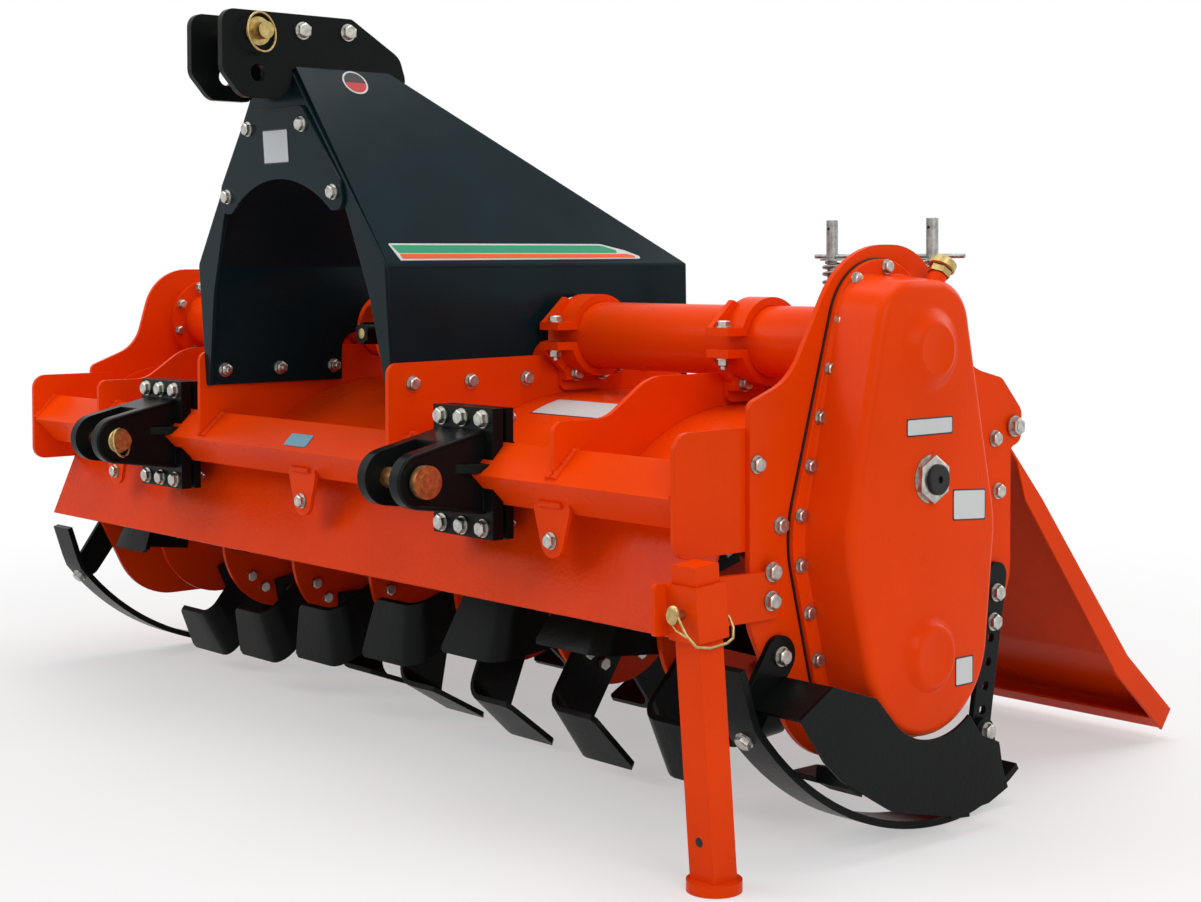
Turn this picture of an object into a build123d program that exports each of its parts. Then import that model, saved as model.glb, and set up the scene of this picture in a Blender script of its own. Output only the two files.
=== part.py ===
from build123d import *
import math
import os

os.makedirs("parts", exist_ok=True)

# Rotary tiller for a three-point hitch. X runs across the machine towards the
# gear-drive side, -Y points to the tractor and +Z is up. While it is modelled,
# Y = 0 is the rotor's axis and Z = 0 the ground. All sizes are millimetres.

# ---- main sizes ----
half_width = 853.0          # middle of the machine to the inner face of a side plate
blade_reach = 240.0         # rotor axis to the tip of a blade
ground_gap = 4.0            # blade tips above the skids' soles
mast_height = 628.0         # lower link pins up to the top link pin
plate = 8.0                 # side plates, end plates, ribs
sheet = 4.0                 # hood, apron and trailing board
fit = 0.3                   # play all round a moving pin or shaft
seat = 0.3                  # play between fixed pieces that nearly touch
swing_gap = 5.5             # side play between moving pieces

# ---- rotor ----
rotor_z = blade_reach + ground_gap
flange_r = 130.0
flange_thick = 8.0
flange_count = 8
end_gap = 48.0              # middle of the last flange to the side plate
rotor_tube_r = 44.0
stub_r = 22.5
blade_thick = 8.0
blade_width = 62.0
blade_leg = 104.0           # how far a blade's foot runs along the rotor
blades_each = 3             # per side of a flange

# ---- hood, rolled round a line just ahead of the rotor ----
hood_room = 68.0            # blade tips to the top of the hood
hood_top = rotor_z + blade_reach + hood_room
hood_r = blade_reach + 65
hood_centre_y = -24.0
hood_front_drop = 120.0     # top of the hood down to its front edge
apron_drop = 142.0          # front edge of the hood down to the apron's foot

# ---- beam, a square tube turned on its corner ----
beam_y = -blade_reach - 81
beam_z = rotor_z + 221
beam_side = 60.0
beam_wall = 6.0
beam_half = beam_side / math.sqrt(2)
tab_xs = (-590.0, 0.0, 590.0)
tab_reach = 78.0            # beam axis down to the tab's bolt
tab_width = 46.0
tab_bolt_r = 6.5

# ---- three-point hitch, category 2 ----
lower_pin_x = 412.5
lower_pin_y = beam_y - 128
lower_pin_z = beam_z - 3
lower_pin_r = 14.3
ball_gap = 54.0             # between the ears of a lower clevis
ear_thick = 18.0
ear_r = 38.0
clevis_width = 132.0
clevis_half_height = 89.0
clevis_flange = 18.0
top_pin_y = beam_y - 118
top_pin_z = lower_pin_z + mast_height
top_pin_r = 12.7
top_hole_drop = 61.0        # spare hole below the top pin
top_gap = 76.0              # between the top hitch plates
top_plate = 12.0

# ---- drive line ----
tube_r = 50.0
tube_wall = 8.0
tube_rise = 38.0            # hood to the underside of the torque tubes
tube_z = hood_top + tube_rise + tube_r
hub_z = rotor_z + 228       # idler hub of the gear case
gearbox_half = 96.0
gearbox_r = 86.0
bearing_depth = 60.0
input_r = 17.45
input_front_y = beam_y + 98
spline_count = 6
clamp_wall = 12.0
clamp_width = 42.0

# ---- mast ----
mast_half = 256.0           # outer face of the mast's legs
mast_top_half = 50.0
mast_top_z = top_pin_z - 48
mast_fold_z = tube_z + 108
mast_foot_z = hood_top + 1
mast_sheet = 6.0
arch_thick = 6.0
mast_front_y = beam_y - 53  # rear face of the arch plate at its top
mast_lean = 3.6             # degrees, the arch plate's top leans to the tractor
mast_rear_y = 222.0
arch_drop = 164.0           # top of the mast down to the crown of its arch

# ---- trailing board ----
hinge_y = blade_reach + 45
hinge_z = rotor_z + 275
hinge_rod_r = 8.0
knuckle_r = 14.0
knuckle_count = 9
board_half = half_width - 18
board_run = (108.0, 327.0, 446.0)      # hinge back to the two bends and the lower edge
board_fall = (114.0, 372.0, 472.0)     # hinge down to the same
cheek_depth = 38.0
cheek_in = 28.0             # width of a cheek at its upper end
board_lip = 33.0

# ---- spring rods ----
rod_xs = (-583.0, -375.0, 375.0, 583.0)
rod_run = 167.0             # hinge back to the rods
rod_pin_height = 45.0       # board up to the pin in the rod's eye
rod_r = 8.0
swivel_z = hood_top + 103
swivel_half = 15.0
spring_r = 17.0
spring_top_z = swivel_z + 97
rod_top_z = swivel_z + 163

# ---- parking stand ----
stand_y = beam_y - 46
stand_z = beam_z - 126      # middle of the sleeve
stand_lean = 4.7            # degrees, foot towards the rear
leg_side = 40.0
leg_play = 0.8
sleeve_wall = 4.6
sleeve_height = 67.0
leg_rise = 56.0             # leg above the middle of the sleeve
foot_r = 34.0
foot_thick = 12.0

on_foot = (Align.CENTER, Align.CENTER, Align.MIN)
nodes = {}


def outline(rows):
    """Closed face from rows of (across, up, corner radius)."""
    points = [(a, b) for a, b, r in rows]
    return make_face(FilletPolyline(points, radius=[r for a, b, r in rows], close=True))


def sheet_face(rows, gauge):
    """Section of a bent sheet: one face follows the rows, the other lies a gauge to their left."""
    points = [Vector(a, b) for a, b, r in rows]
    radii = [r for a, b, r in rows]
    steps = [(q - p).normalized() for p, q in zip(points, points[1:])]
    steps = [steps[0]] + steps + [steps[-1]]
    far = []
    for p, r, before, after in zip(points, radii, steps, steps[1:]):
        left_before = Vector(-before.Y, before.X)
        left_after = Vector(-after.Y, after.X)
        middle = (left_before + left_after).normalized()
        reach = gauge / middle.dot(left_after)
        turn = before.X * after.Y - before.Y * after.X
        bend = r - gauge if turn > 0 else r + gauge
        q = p + middle * reach
        far.append((q.X, q.Y, bend if r else 0))
    return outline(list(rows) + far[::-1])


def across(face, x0, x1):
    """Face drawn in (Y, Z), carried along X from x0 to x1."""
    return extrude(Plane.YZ.offset(x0) * face, amount=x1 - x0, dir=(1, 0, 0))


def along(face, y0, y1):
    """Face drawn in (X, Z), carried along Y from y0 to y1."""
    return extrude(Plane.XZ.offset(-y0) * face, amount=y1 - y0, dir=(0, 1, 0))


def rod_x(y, z, r, x0, x1):
    """Round bar along X."""
    return across(Pos(y, z) * Circle(r), x0, x1)


def rod_y_bar(x, z, r, y0, y1):
    """Round bar along Y."""
    return along(Pos(x, z) * Circle(r), y0, y1)


def block(x0, x1, y0, y1, z0, z1):
    """Rectangular block between two corners."""
    centre = Pos((x0 + x1) / 2, (y0 + y1) / 2, (z0 + z1) / 2)
    return centre * Box(x1 - x0, y1 - y0, z1 - z0)


def hull(circles):
    """Outline wrapped round circles given as (across, up, radius)."""
    edges = [edge for a, b, r in circles for edge in (Pos(a, b) * Circle(r)).edges()]
    return make_hull(edges)


def both_sides(shape):
    """The shape and its mirror image on the other side of the machine."""
    return [shape, mirror(shape, about=Plane.YZ)]


def keep(name, *solids):
    """Store a node made of one or more solids."""
    nodes[name] = [s for shape in solids for s in shape.solids()]


# ---- front beam: tube with the tabs that the apron bolts to ----
beam_end = half_width - plate
square = Pos(beam_y, beam_z) * Rot(0, 0, 45) * Rectangle(beam_side, beam_side)
bore_side = beam_side - 2 * beam_wall
square_bore = Pos(beam_y, beam_z) * Rot(0, 0, 45) * Rectangle(bore_side, bore_side)
beam = across(square - square_bore, -beam_end, beam_end)
tab_y = beam_y - 14
for x in tab_xs:
    ear = hull([(x, beam_z - tab_reach, tab_width / 2), (x - 14, beam_z - 36, 22), (x + 14, beam_z - 36, 22)])
    tab = along(ear - Pos(x, beam_z - tab_reach) * Circle(tab_bolt_r), tab_y, tab_y + 6)
    beam += tab - across(square, x - 60, x + 60)
keep("front_beam", beam)

# ---- hood over the rotor, rolled from one sheet ----
roll = math.acos((hood_r - hood_front_drop) / hood_r)
hood_front = Vector(hood_centre_y - hood_r * math.sin(roll), hood_top - hood_front_drop)
hood_edge = hood_front - Vector(math.cos(roll), math.sin(roll)) * 2
hood_corner_y = hood_centre_y - hood_r * math.tan(roll / 2)
hood_rear = (hinge_y - knuckle_r - 6, hinge_z + 10)
hood_rows = [
    (hood_edge.X, hood_edge.Y, 0),
    (hood_corner_y, hood_top, hood_r),
    (130, hood_top, 420),
    (*hood_rear, 0),
]
hood = across(sheet_face(hood_rows[::-1], sheet), -beam_end, beam_end)
under_hood = outline(hood_rows + [(hood_rear[0], rotor_z, 0), (hood_edge.X, rotor_z, 0)])
knuckle_pitch = 2 * board_half / knuckle_count
knuckle_length = knuckle_pitch - swing_gap
hinge_room = Pos(hinge_y, hinge_z) * Circle(hinge_rod_r + fit)
barrel = Pos(hinge_y, hinge_z) * Circle(knuckle_r) - hinge_room
hood_web = outline([
    (hood_rear[0] - 2, hood_rear[1] + 0.4, 0),
    (hood_rear[0] - 3, hood_rear[1] - 3.4, 0),
    (hinge_y - knuckle_r + 2, hinge_z + 4, 0),
    (hinge_y - knuckle_r + 5, hinge_z + 9, 0),
])
for i in range(0, knuckle_count, 2):
    start = -board_half + i * knuckle_pitch + swing_gap / 2
    hood += across(barrel + hood_web - hinge_room, start, start + knuckle_length)
keep("hood", hood)

# ---- apron that carries the hood's line on down behind the beam ----
apron_top = hood_edge - Vector(0.6, 1.2)
apron_foot = Vector(hood_centre_y - hood_r + 2, hood_front.Y - apron_drop)
apron_face = sheet_face([(apron_top.X, apron_top.Y, 0), (apron_foot.X, apron_foot.Y, 0)], sheet)
apron = across(apron_face, -beam_end, beam_end)
keep("apron", apron)

# ---- end plates of the frame, behind the side plates ----
end_foot_z = beam_z - 73
end_front = [
    (beam_y - 43, end_foot_z, 22),
    (beam_y - 43, beam_z + 80, 24),
    (beam_y + 121, beam_z + 80, 0),
    (beam_y + 121, end_foot_z, 0),
]
end_rear = [
    (beam_y + 71, end_foot_z, 0),
    (beam_y + 71, beam_z + 5, 0),
    (hood_corner_y, hood_top, hood_r * 0.6),
    (130, hood_top, 420),
    (hood_rear[0] - 6, hood_rear[1] + 1, 0),
    (hood_rear[0] - 6, beam_z - 20, 30),
    (blade_reach - 60, end_foot_z, 60),
]
end_plate = across(outline(end_front) + outline(end_rear), beam_end, half_width)
for name, solid in zip(("frame_end_plate_right", "frame_end_plate_left"), both_sides(end_plate)):
    keep(name, solid)

# ---- side plates that carry the rotor ----
side_out = half_width + plate
side_front = beam_y + 77
side_rows = [
    (side_front, hood_top + 24, 14),
    (side_front + 74, hood_top + 51, 90),
    (-48, tube_z + 133, 70),
    (78, tube_z + 133, 60),
    (hinge_y - 99, hood_top + 54, 90),
    (hinge_y - 23, hinge_z + 69, 22),
    (hinge_y - 3, hinge_z + 26, 22),
    (hinge_y - 3, rotor_z + 56, 90),
    (150, rotor_z - 132, 120),
    (-150, rotor_z - 132, 120),
    (side_front, rotor_z + 56, 60),
]
lug = Pos(hinge_y, hinge_z) * Circle(24) - Pos(hinge_y, hinge_z) * Circle(hinge_rod_r + seat)
stub_hole = Pos(0, rotor_z) * Circle(stub_r + 8)
side_face = outline(side_rows) + lug
side_face -= Pos(hinge_y, hinge_z) * Circle(hinge_rod_r + seat)
side_face -= stub_hole
side_plate = across(side_face, half_width, side_out)
for name, solid in zip(("side_plate_right", "side_plate_left"), both_sides(side_plate)):
    keep(name, solid)

# ---- ribs between the beam and the hood, notched for the torque tubes ----
tube_saddle = Pos(0, tube_z) * Circle(tube_r + 2)
rib_back = [(hood_edge.X + 40, beam_z - 24, 0), (beam_y + 26, beam_z - 24, 0), (beam_y - 26, beam_z, 0)]


def rib_face(top):
    """Upright rib whose foot follows the beam and the hood."""
    return outline(top + rib_back) - under_hood - square - tube_saddle


rib_x = 619.0
rib_top = [
    (beam_y - 34, beam_z + 20, 0),
    (beam_y - 34, beam_z + 80, 15),
    (beam_y + 59, beam_z + 80, 60),
    (beam_y + 136, tube_z - 43, 80),
    (96, tube_z - 43, 12),
    (96, hood_top - 20, 0),
]
ribs = across(rib_face(rib_top), rib_x - plate, rib_x)
keep("hood_ribs", *both_sides(ribs))
mount_top = [
    (beam_y - 40, beam_z + 12, 0),
    (beam_y - 40, tube_z - 33, 16),
    (70, tube_z - 28, 60),
    (226, hood_top + 16, 20),
    (226, hood_top - 40, 0),
]
mount = across(rib_face(mount_top), mast_half, mast_half + plate)
keep("mast_mount_plates", *both_sides(mount))

# ---- mast: two folded side panels, a front plate with its arch ----
tube_room = tube_r + clamp_wall + 12
lean = math.tan(math.radians(mast_lean))


def front_y(z):
    """Rear face of the leaning arch plate at height z."""
    return mast_front_y + (mast_top_z - z) * lean


panel_section = sheet_face([
    (mast_half, mast_foot_z, 0),
    (mast_half, mast_fold_z, 14),
    (mast_top_half, mast_top_z, 0),
], mast_sheet)
panel = along(panel_section, mast_front_y - 10, mast_rear_y + 10)
panel_side = outline([
    (front_y(mast_foot_z), mast_foot_z, 0),
    (front_y(mast_top_z + 8), mast_top_z + 8, 0),
    (mast_front_y + 154, mast_top_z + 8, 0),
    (mast_front_y + 208, mast_top_z - 26, 20),
    (mast_rear_y, mast_fold_z, 14),
    (mast_rear_y + 3, tube_z + tube_room - 16, 10),
    (tube_room, tube_z + tube_room - 16, 12),
    (-tube_room, tube_z + 8, 30),
    (-tube_room - 6, mast_foot_z, 12),
])
panel_side -= Pos(0, tube_z) * Circle(tube_room)
panel &= across(panel_side, top_gap / 2 + top_plate + seat, mast_half + 1)
for name, solid in zip(("mast_panel_right", "mast_panel_left"), both_sides(panel)):
    keep(name, solid)

mast_rise = mast_top_z - mast_foot_z
arch_half_rows = [
    (-mast_half, 0, 4),
    (-mast_half, mast_fold_z - mast_foot_z, 14),
    (-mast_top_half + 4, mast_rise - 5, 4),
]
arch_rows = arch_half_rows + [(-a, b, r) for a, b, r in arch_half_rows[::-1]]
hole_half_rows = [
    (-mast_half + 10, -1, 0),
    (-mast_half + 40, 147, 150),
    (-150, mast_rise - arch_drop, 95),
]
hole_rows = hole_half_rows + [(-a, b, r) for a, b, r in hole_half_rows[::-1]]
arch = along(outline(arch_rows) - outline(hole_rows), -arch_thick, 0)
arch = Pos(0, front_y(mast_foot_z), mast_foot_z) * Rot(mast_lean, 0, 0) * arch
keep("mast_arch_plate", arch)

# ---- top hitch: two plates with a long spacer behind the ball ----
notch_front = mast_front_y - arch_thick - seat - 0.4
notch_rear = mast_front_y + seat + 2.8
notch_top = mast_top_z - 4
hitch_rows = [
    (top_pin_y - 60, top_pin_z + 30, 20),
    (top_pin_y + 166, top_pin_z + 30, 14),
    (top_pin_y + 255, top_pin_z - 23, 30),
    (top_pin_y + 271, top_pin_z - 72, 20),
    (top_pin_y + 209, top_pin_z - 86, 0),
    (notch_rear, top_pin_z - 86, 0),
    (notch_rear, notch_top, 0),
    (notch_front, notch_top, 0),
    (notch_front, notch_top - 26, 8),
    (top_pin_y + 37, top_pin_z - 97, 12),
    (top_pin_y - 27, top_pin_z - 97, 24),
    (top_pin_y - 60, top_pin_z - 60, 24),
]
hitch_face = outline(hitch_rows)
hitch_face -= Pos(top_pin_y, top_pin_z) * Circle(top_pin_r + fit)
hitch_face -= Pos(top_pin_y, top_pin_z - top_hole_drop) * Circle(top_pin_r + fit)
hitch_plate = across(hitch_face, top_gap / 2, top_gap / 2 + top_plate)
keep("top_hitch_plates", *both_sides(hitch_plate))
spacers = [rod_x(top_pin_y + run, top_pin_z + 6, 15, -top_gap / 2, top_gap / 2) for run in (94, 179)]
keep("top_hitch_spacers", *spacers)
pin_end = top_gap / 2 + top_plate + 24
top_pin = rod_x(top_pin_y, top_pin_z, top_pin_r, -pin_end, pin_end)
top_pin += rod_x(top_pin_y, top_pin_z, top_pin_r + 6, -pin_end - 8, -pin_end)
keep("top_link_pin", top_pin)

# ---- lower hitch: cast clevises clamped round the beam ----
flange_y = beam_y - 23
ear_face = hull([(lower_pin_y, lower_pin_z, ear_r), (flange_y - 2, lower_pin_z + 52, 10),
                 (flange_y - 2, lower_pin_z - 44, 8)])
pin_bore = Pos(lower_pin_y, lower_pin_z) * Circle(lower_pin_r + fit)
ears = [across(ear_face - pin_bore, x, x + ear_thick) for x in (-ball_gap / 2 - ear_thick, ball_gap / 2)]
saddle = across(ear_face & Pos(flange_y - 30, lower_pin_z) * Rectangle(60, 200), -ball_gap / 2, ball_gap / 2)
flange_block = block(-clevis_width / 2, clevis_width / 2, flange_y, flange_y + clevis_flange,
                     beam_z - clevis_half_height, beam_z + clevis_half_height)
beam_room = Pos(beam_y, beam_z) * Rot(0, 0, 45) * Rectangle(beam_side + 2 * seat, beam_side + 2 * seat)
clevis = ears[0] + ears[1] + saddle + flange_block - across(beam_room, -clevis_width, clevis_width)
v_gap = beam_half + 14
clamp_front = flange_y + clevis_flange + 6
clamp_rear = clamp_front + 12
clamp_face = outline([
    (clamp_front, beam_z + clevis_half_height, 0),
    (clamp_rear, beam_z + clevis_half_height, 0),
    (clamp_rear, beam_z + v_gap - (clamp_rear - beam_y), 0),
    (beam_y + v_gap, beam_z, 8),
    (clamp_rear, beam_z - v_gap + (clamp_rear - beam_y), 0),
    (clamp_rear, beam_z - clevis_half_height, 0),
    (clamp_front, beam_z - clevis_half_height, 0),
]) - beam_room
clamp_plate = across(clamp_face, -clevis_width / 2, clevis_width / 2)
clamp_parts = []
pin_parts = []
for name, x in (("lower_clevis_right", lower_pin_x), ("lower_clevis_left", -lower_pin_x)):
    keep(name, Pos(x, 0, 0) * clevis)
    clamp_parts.append(Pos(x, 0, 0) * clamp_plate)
    pin_out = ball_gap / 2 + ear_thick
    pin = rod_x(lower_pin_y, lower_pin_z, lower_pin_r, x - pin_out - 20, x + pin_out + 20)
    pin += rod_x(lower_pin_y, lower_pin_z, lower_pin_r + 8, x + pin_out + 6, x + pin_out + 18) if x > 0 else \
        rod_x(lower_pin_y, lower_pin_z, lower_pin_r + 8, x - pin_out - 18, x - pin_out - 6)
    pin_parts.append(pin)
keep("clevis_clamp_plates", *clamp_parts)
keep("lower_link_pins", *pin_parts)

# ---- central gearbox, torque tubes and their clamps ----
neck_front = input_front_y + 66
gearbox = rod_x(0, tube_z, gearbox_r, -gearbox_half + 16, gearbox_half - 16)
gearbox += rod_x(0, tube_z, 75, -gearbox_half, gearbox_half)
gearbox += rod_y_bar(0, tube_z, 74, neck_front + 14, 0)
gearbox += rod_y_bar(0, tube_z, 60, neck_front, neck_front + 14)
gearbox += rod_y_bar(0, tube_z, 70, 0, 112)
gearbox += block(-62, 62, -84, 84, hood_top + seat, tube_z)
gearbox -= rod_y_bar(0, tube_z, input_r + fit, neck_front - 1, neck_front + bearing_depth)
keep("gearbox", gearbox)

input_shaft = rod_y_bar(0, tube_z, input_r, input_front_y, neck_front + bearing_depth - 2)
groove_depth = 2.6
groove_width = 9.2
for i in range(spline_count):
    groove = Rot(0, i * 360 / spline_count + 30, 0) * block(
        -groove_width / 2, groove_width / 2, input_front_y - 1, input_front_y + 52, input_r - groove_depth, input_r + 3)
    input_shaft -= Pos(0, 0, tube_z) * groove
keep("input_shaft", input_shaft)

tube_face = Circle(tube_r) - Circle(tube_r - tube_wall)
tube = across(Pos(0, tube_z) * tube_face, gearbox_half, half_width)
for start, r in ((gearbox_half, 75), (half_width - 12, 76)):
    tube += across(Pos(0, tube_z) * (Circle(r) - Circle(tube_r - tube_wall)), start, start + 12)
keep("torque_tubes", *both_sides(tube))

ring = Circle(tube_r + clamp_wall) - Circle(tube_r + seat)
ear_out = tube_r + clamp_wall + 26
strap = Rectangle(2 * ear_out, 2 * clamp_wall) - Circle(tube_r + clamp_wall / 2)
half_room = Rectangle(400, 200, align=(Align.CENTER, Align.MIN))
split = 9.0                 # half the gap between the two halves
upper_face = (ring + Pos(0, clamp_wall / 2 + split) * Rectangle(2 * ear_out, clamp_wall)) & Pos(0, split) * half_room
upper_face -= Circle(tube_r + seat)
lower_face = mirror(upper_face, about=Plane.XZ)
clamp_foot_z = hood_top + 4
foot_face = outline([(-46, clamp_foot_z, 10), (46, clamp_foot_z, 10), (46, tube_z - 30, 0), (-46, tube_z - 30, 0)])
foot_face -= Pos(0, tube_z) * Circle(tube_r + seat + 0.5)
uppers = []
lowers = []
for x in (mast_half + plate, rib_x):
    uppers.append(across(Pos(0, tube_z) * upper_face, x + plate, x + plate + clamp_width))
    lower = across(Pos(0, tube_z) * lower_face, x + plate, x + plate + clamp_width)
    lower += across(foot_face, x + seat, x + plate)
    lower += across(foot_face & Pos(0, tube_z - tube_r - 8) * Rectangle(92, 20), x + plate, x + plate + 12)
    lowers.append(lower)
keep("tube_clamp_uppers", *[s for u in uppers for s in both_sides(u)])
keep("tube_clamp_lowers", *[s for w in lowers for s in both_sides(w)])

# ---- gear case on the drive side ----
case_circles = [(0, tube_z, 98), (0, hub_z - 72, 160), (0, rotor_z + 28, 128)]
case_rim = 8.0
case_depth = 74.0
case_flange = 10.0


def case_hull(grow):
    """Outline of the gear case, grown all round."""
    return hull([(a, b, r + grow) for a, b, r in case_circles])


case = across(case_hull(32), side_out, side_out + case_flange)
case_face_x = side_out + case_flange + case_depth
cover = loft([
    Plane.YZ.offset(side_out + case_flange) * case_hull(case_rim),
    Plane.YZ.offset(case_face_x) * case_hull(0),
])
cover = fillet(cover.faces().sort_by(Axis.X)[-1].edges(), 12)
case += cover
for z, base, tip, height in ((tube_z, 50, 32, 12), (rotor_z, 46, 34, 9)):
    boss = Solid.make_cone(base, tip, height, Plane.YZ.offset(case_face_x))
    case += Pos(0, 0, z) * boss
case -= rod_x(0, rotor_z, stub_r + fit, side_out - 1, side_out + 34)
case -= rod_x(0, hub_z, 16, case_face_x - 20, case_face_x + 1)
keep("gear_case", case)
nut = across(Pos(0, hub_z) * (RegularPolygon(27, 6) - Circle(16)), case_face_x, case_face_x + 14)
nut += rod_x(0, hub_z, 16, case_face_x - 19, case_face_x + 18)
keep("hub_nut", nut)

cap_face = Pos(0, rotor_z) * (Circle(76) - Circle(stub_r + fit))
bearing_cap = across(cap_face, side_out, side_out + 12)
bearing_cap += across(Pos(0, rotor_z) * (Circle(48) - Circle(stub_r + fit)), side_out + 12, side_out + 34)
bearing_cap += rod_x(0, rotor_z, 48, side_out + 34, side_out + 42)
keep("rotor_bearing_cap", mirror(bearing_cap, about=Plane.YZ))

breather_x = side_out + case_flange + case_depth * 0.4
breather_tilt = 18.0
breather = Cylinder(13, 30, align=on_foot) + Pos(0, 0, 28) * Cylinder(18, 12, align=on_foot)
breather = Rot(-breather_tilt, 0, 0) * Pos(0, 0, case_circles[0][2] - 4) * breather
breather = Pos(breather_x, 0, tube_z) * breather - case
keep("breather", breather)

# ---- skids ----
skid_in = side_out + plate + seat
skid_width = 44.0
runner_gauge = 10.0
runner_y = 95.0
front_r = 470.0
runner_front = -275.0


def runner_z(y):
    """Height of the runner's underside ahead of its lowest line."""
    return front_r - math.sqrt(front_r ** 2 - (y - runner_y) ** 2)


front_end = Vector(runner_front, runner_z(runner_front))
front_mid = Vector(-70, runner_z(-70))
low = Vector(runner_y, 0)
rear_mid = Vector(runner_y + 85, 13)
rear_end = Vector(runner_y + 156, 47)
tang_end = front_end + Vector(-26, 76)


centre = Vector(runner_y, front_r)


def raised(p):
    """Point on the runner's upper face over p."""
    return p + (centre - p).normalized() * runner_gauge


upper_rear = rear_end + Vector(-4.2, 9.1)
upper_rear_mid = rear_mid + Vector(-2.8, 9.6)
upper_low = low + Vector(0, runner_gauge)
upper_tang = tang_end + Vector(9.5, 3.2)
upper_front = raised(front_end)
runner_wire = Wire([
    Line(tang_end, front_end),
    ThreePointArc(front_end, front_mid, low),
    ThreePointArc(low, rear_mid, rear_end),
    Line(rear_end, upper_rear),
    ThreePointArc(upper_rear, upper_rear_mid, upper_low),
    ThreePointArc(upper_low, raised(front_mid), upper_front),
    Line(upper_front, upper_tang),
    Line(upper_tang, tang_end),
])
runner = across(make_face(runner_wire), skid_in, skid_in + skid_width)
strap_foot = (205.0, 100.0)
lug_face = hull([(strap_foot[0], strap_foot[1], 20), (strap_foot[0] - 14, 30, 10), (strap_foot[0] + 22, 34, 9)])
lug_face -= outline([(-100, -50, 0), (400, -50, 0), (400, 40, 0), (240, 40, 0), (212, 26, 0), (160, 12, 0), (-100, 12, 0)])
runner += across(lug_face, skid_in, skid_in + plate)
for name, solid in zip(("skid_right", "skid_left"), both_sides(runner)):
    keep(name, solid)

arm_bolt = (side_front + 48, rotor_z + 14)
arm_tip = (runner_front + 26, runner_z(runner_front) + 6)
arm_face = hull([(*arm_bolt, 26), (*arm_tip, 24)])
arm = across(arm_face, side_out, side_out + 8)
keep("skid_brackets", *both_sides(arm))
strap_head = (hinge_y - 42, rotor_z + 68)
strap_face = hull([(*strap_head, 20), (strap_foot[0], strap_foot[1] - 4, 20)])
for k in range(5):
    t = 0.24 + 0.155 * k
    hole = (strap_head[0] + (strap_foot[0] - strap_head[0]) * t, strap_head[1] + (strap_foot[1] - strap_head[1]) * t)
    if k > 0:
        strap_face -= Pos(*hole) * Circle(7)
strap = across(strap_face, side_out, side_out + 8)
keep("skid_straps", *both_sides(strap))

# ---- guard under the gear case, welded on the skid and bent in to its bracket ----
guard_x = skid_in + skid_width - 12
guard_front = Vector(-232, rotor_z - 58)
guard_top = Vector(-180, rotor_z - 15)
guard_face = outline([
    (guard_front.X, guard_front.Y, 0),
    (guard_top.X, guard_top.Y, 0),
    (-96, rotor_z - 40, 30),
    (-40, rotor_z - 124, 0),
    (60, rotor_z - 124, 0),
    (72, rotor_z - 102, 0),
    (140, rotor_z - 126, 20),
    (184, rotor_z - 144, 10),
    (200, 46, 0),
    (runner_y + 85, 27, 0),
    (runner_y + 20, 13, 0),
    (runner_y, 5, 0),
    (-70, 20, 0),
])
guard_room = hull([(a, b, r + case_rim + 6) for a, b, r in case_circles])
on_runner = Pos(runner_y, front_r) * Circle(front_r - runner_gauge - seat)
guard_edge = outline([
    (-260, 100, 0),
    (-260, rotor_z + 6, 0),
    (300, rotor_z + 6, 0),
    (300, -20, 0),
    (40, -20, 0),
    (-80, 58, 60),
])
guard_face = guard_face & on_runner & guard_edge
guard = across(guard_face - guard_room, guard_x, guard_x + sheet)
wing_step = (guard_top - guard_front).normalized() * sheet
wing_in = Vector(wing_step.Y, -wing_step.X)
wing_rows = [guard_front, guard_top, guard_top + wing_in, guard_front + wing_in]
wing = across(outline([(p.X, p.Y, 0) for p in wing_rows]), side_out + plate + seat, guard_x + sheet)
guard += wing
keep("gear_guard", guard)

# ---- parking stand ----
sleeve_side = leg_side + 2 * leg_play + 2 * sleeve_wall
stand_x = side_out + plate + sleeve_side / 2
stand_plane = Pos(stand_x, stand_y, stand_z) * Rot(stand_lean, 0, 0)
hollow = leg_side + 2 * leg_play
sleeve = Box(sleeve_side, sleeve_side, sleeve_height) - Box(hollow, hollow, sleeve_height + 2)
sleeve = stand_plane * sleeve
bracket_front = stand_y - 44
bracket_rear = side_front + 45
bracket_face = outline([
    (bracket_front, stand_z - 30, 4),
    (bracket_front, stand_z + 32, 4),
    (bracket_rear, stand_z + 27, 12),
    (bracket_rear, stand_z - 33, 12),
])
sleeve += across(bracket_face, side_out, side_out + plate)
keep("stand_sleeve", sleeve)
leg = Box(leg_side, leg_side, stand_z + leg_rise - foot_thick, align=on_foot)
leg = stand_plane * Pos(0, 0, foot_thick - stand_z) * leg
foot_y = stand_y + math.tan(math.radians(stand_lean)) * stand_z
leg += Pos(stand_x, foot_y, 0) * Cylinder(foot_r, foot_thick + 2, align=on_foot)
keep("stand_leg", leg)
latch = Cylinder(6, 18) + Pos(0, 0, 9) * Cylinder(9, 5)
latch = stand_plane * Pos(0, -sleeve_side / 2 - 6, 0) * Rot(90, 0, 0) * latch
latch -= stand_plane * Box(hollow + 0.4, hollow + 0.4, 200)
latch -= sleeve
keep("stand_pin", latch)

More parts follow.
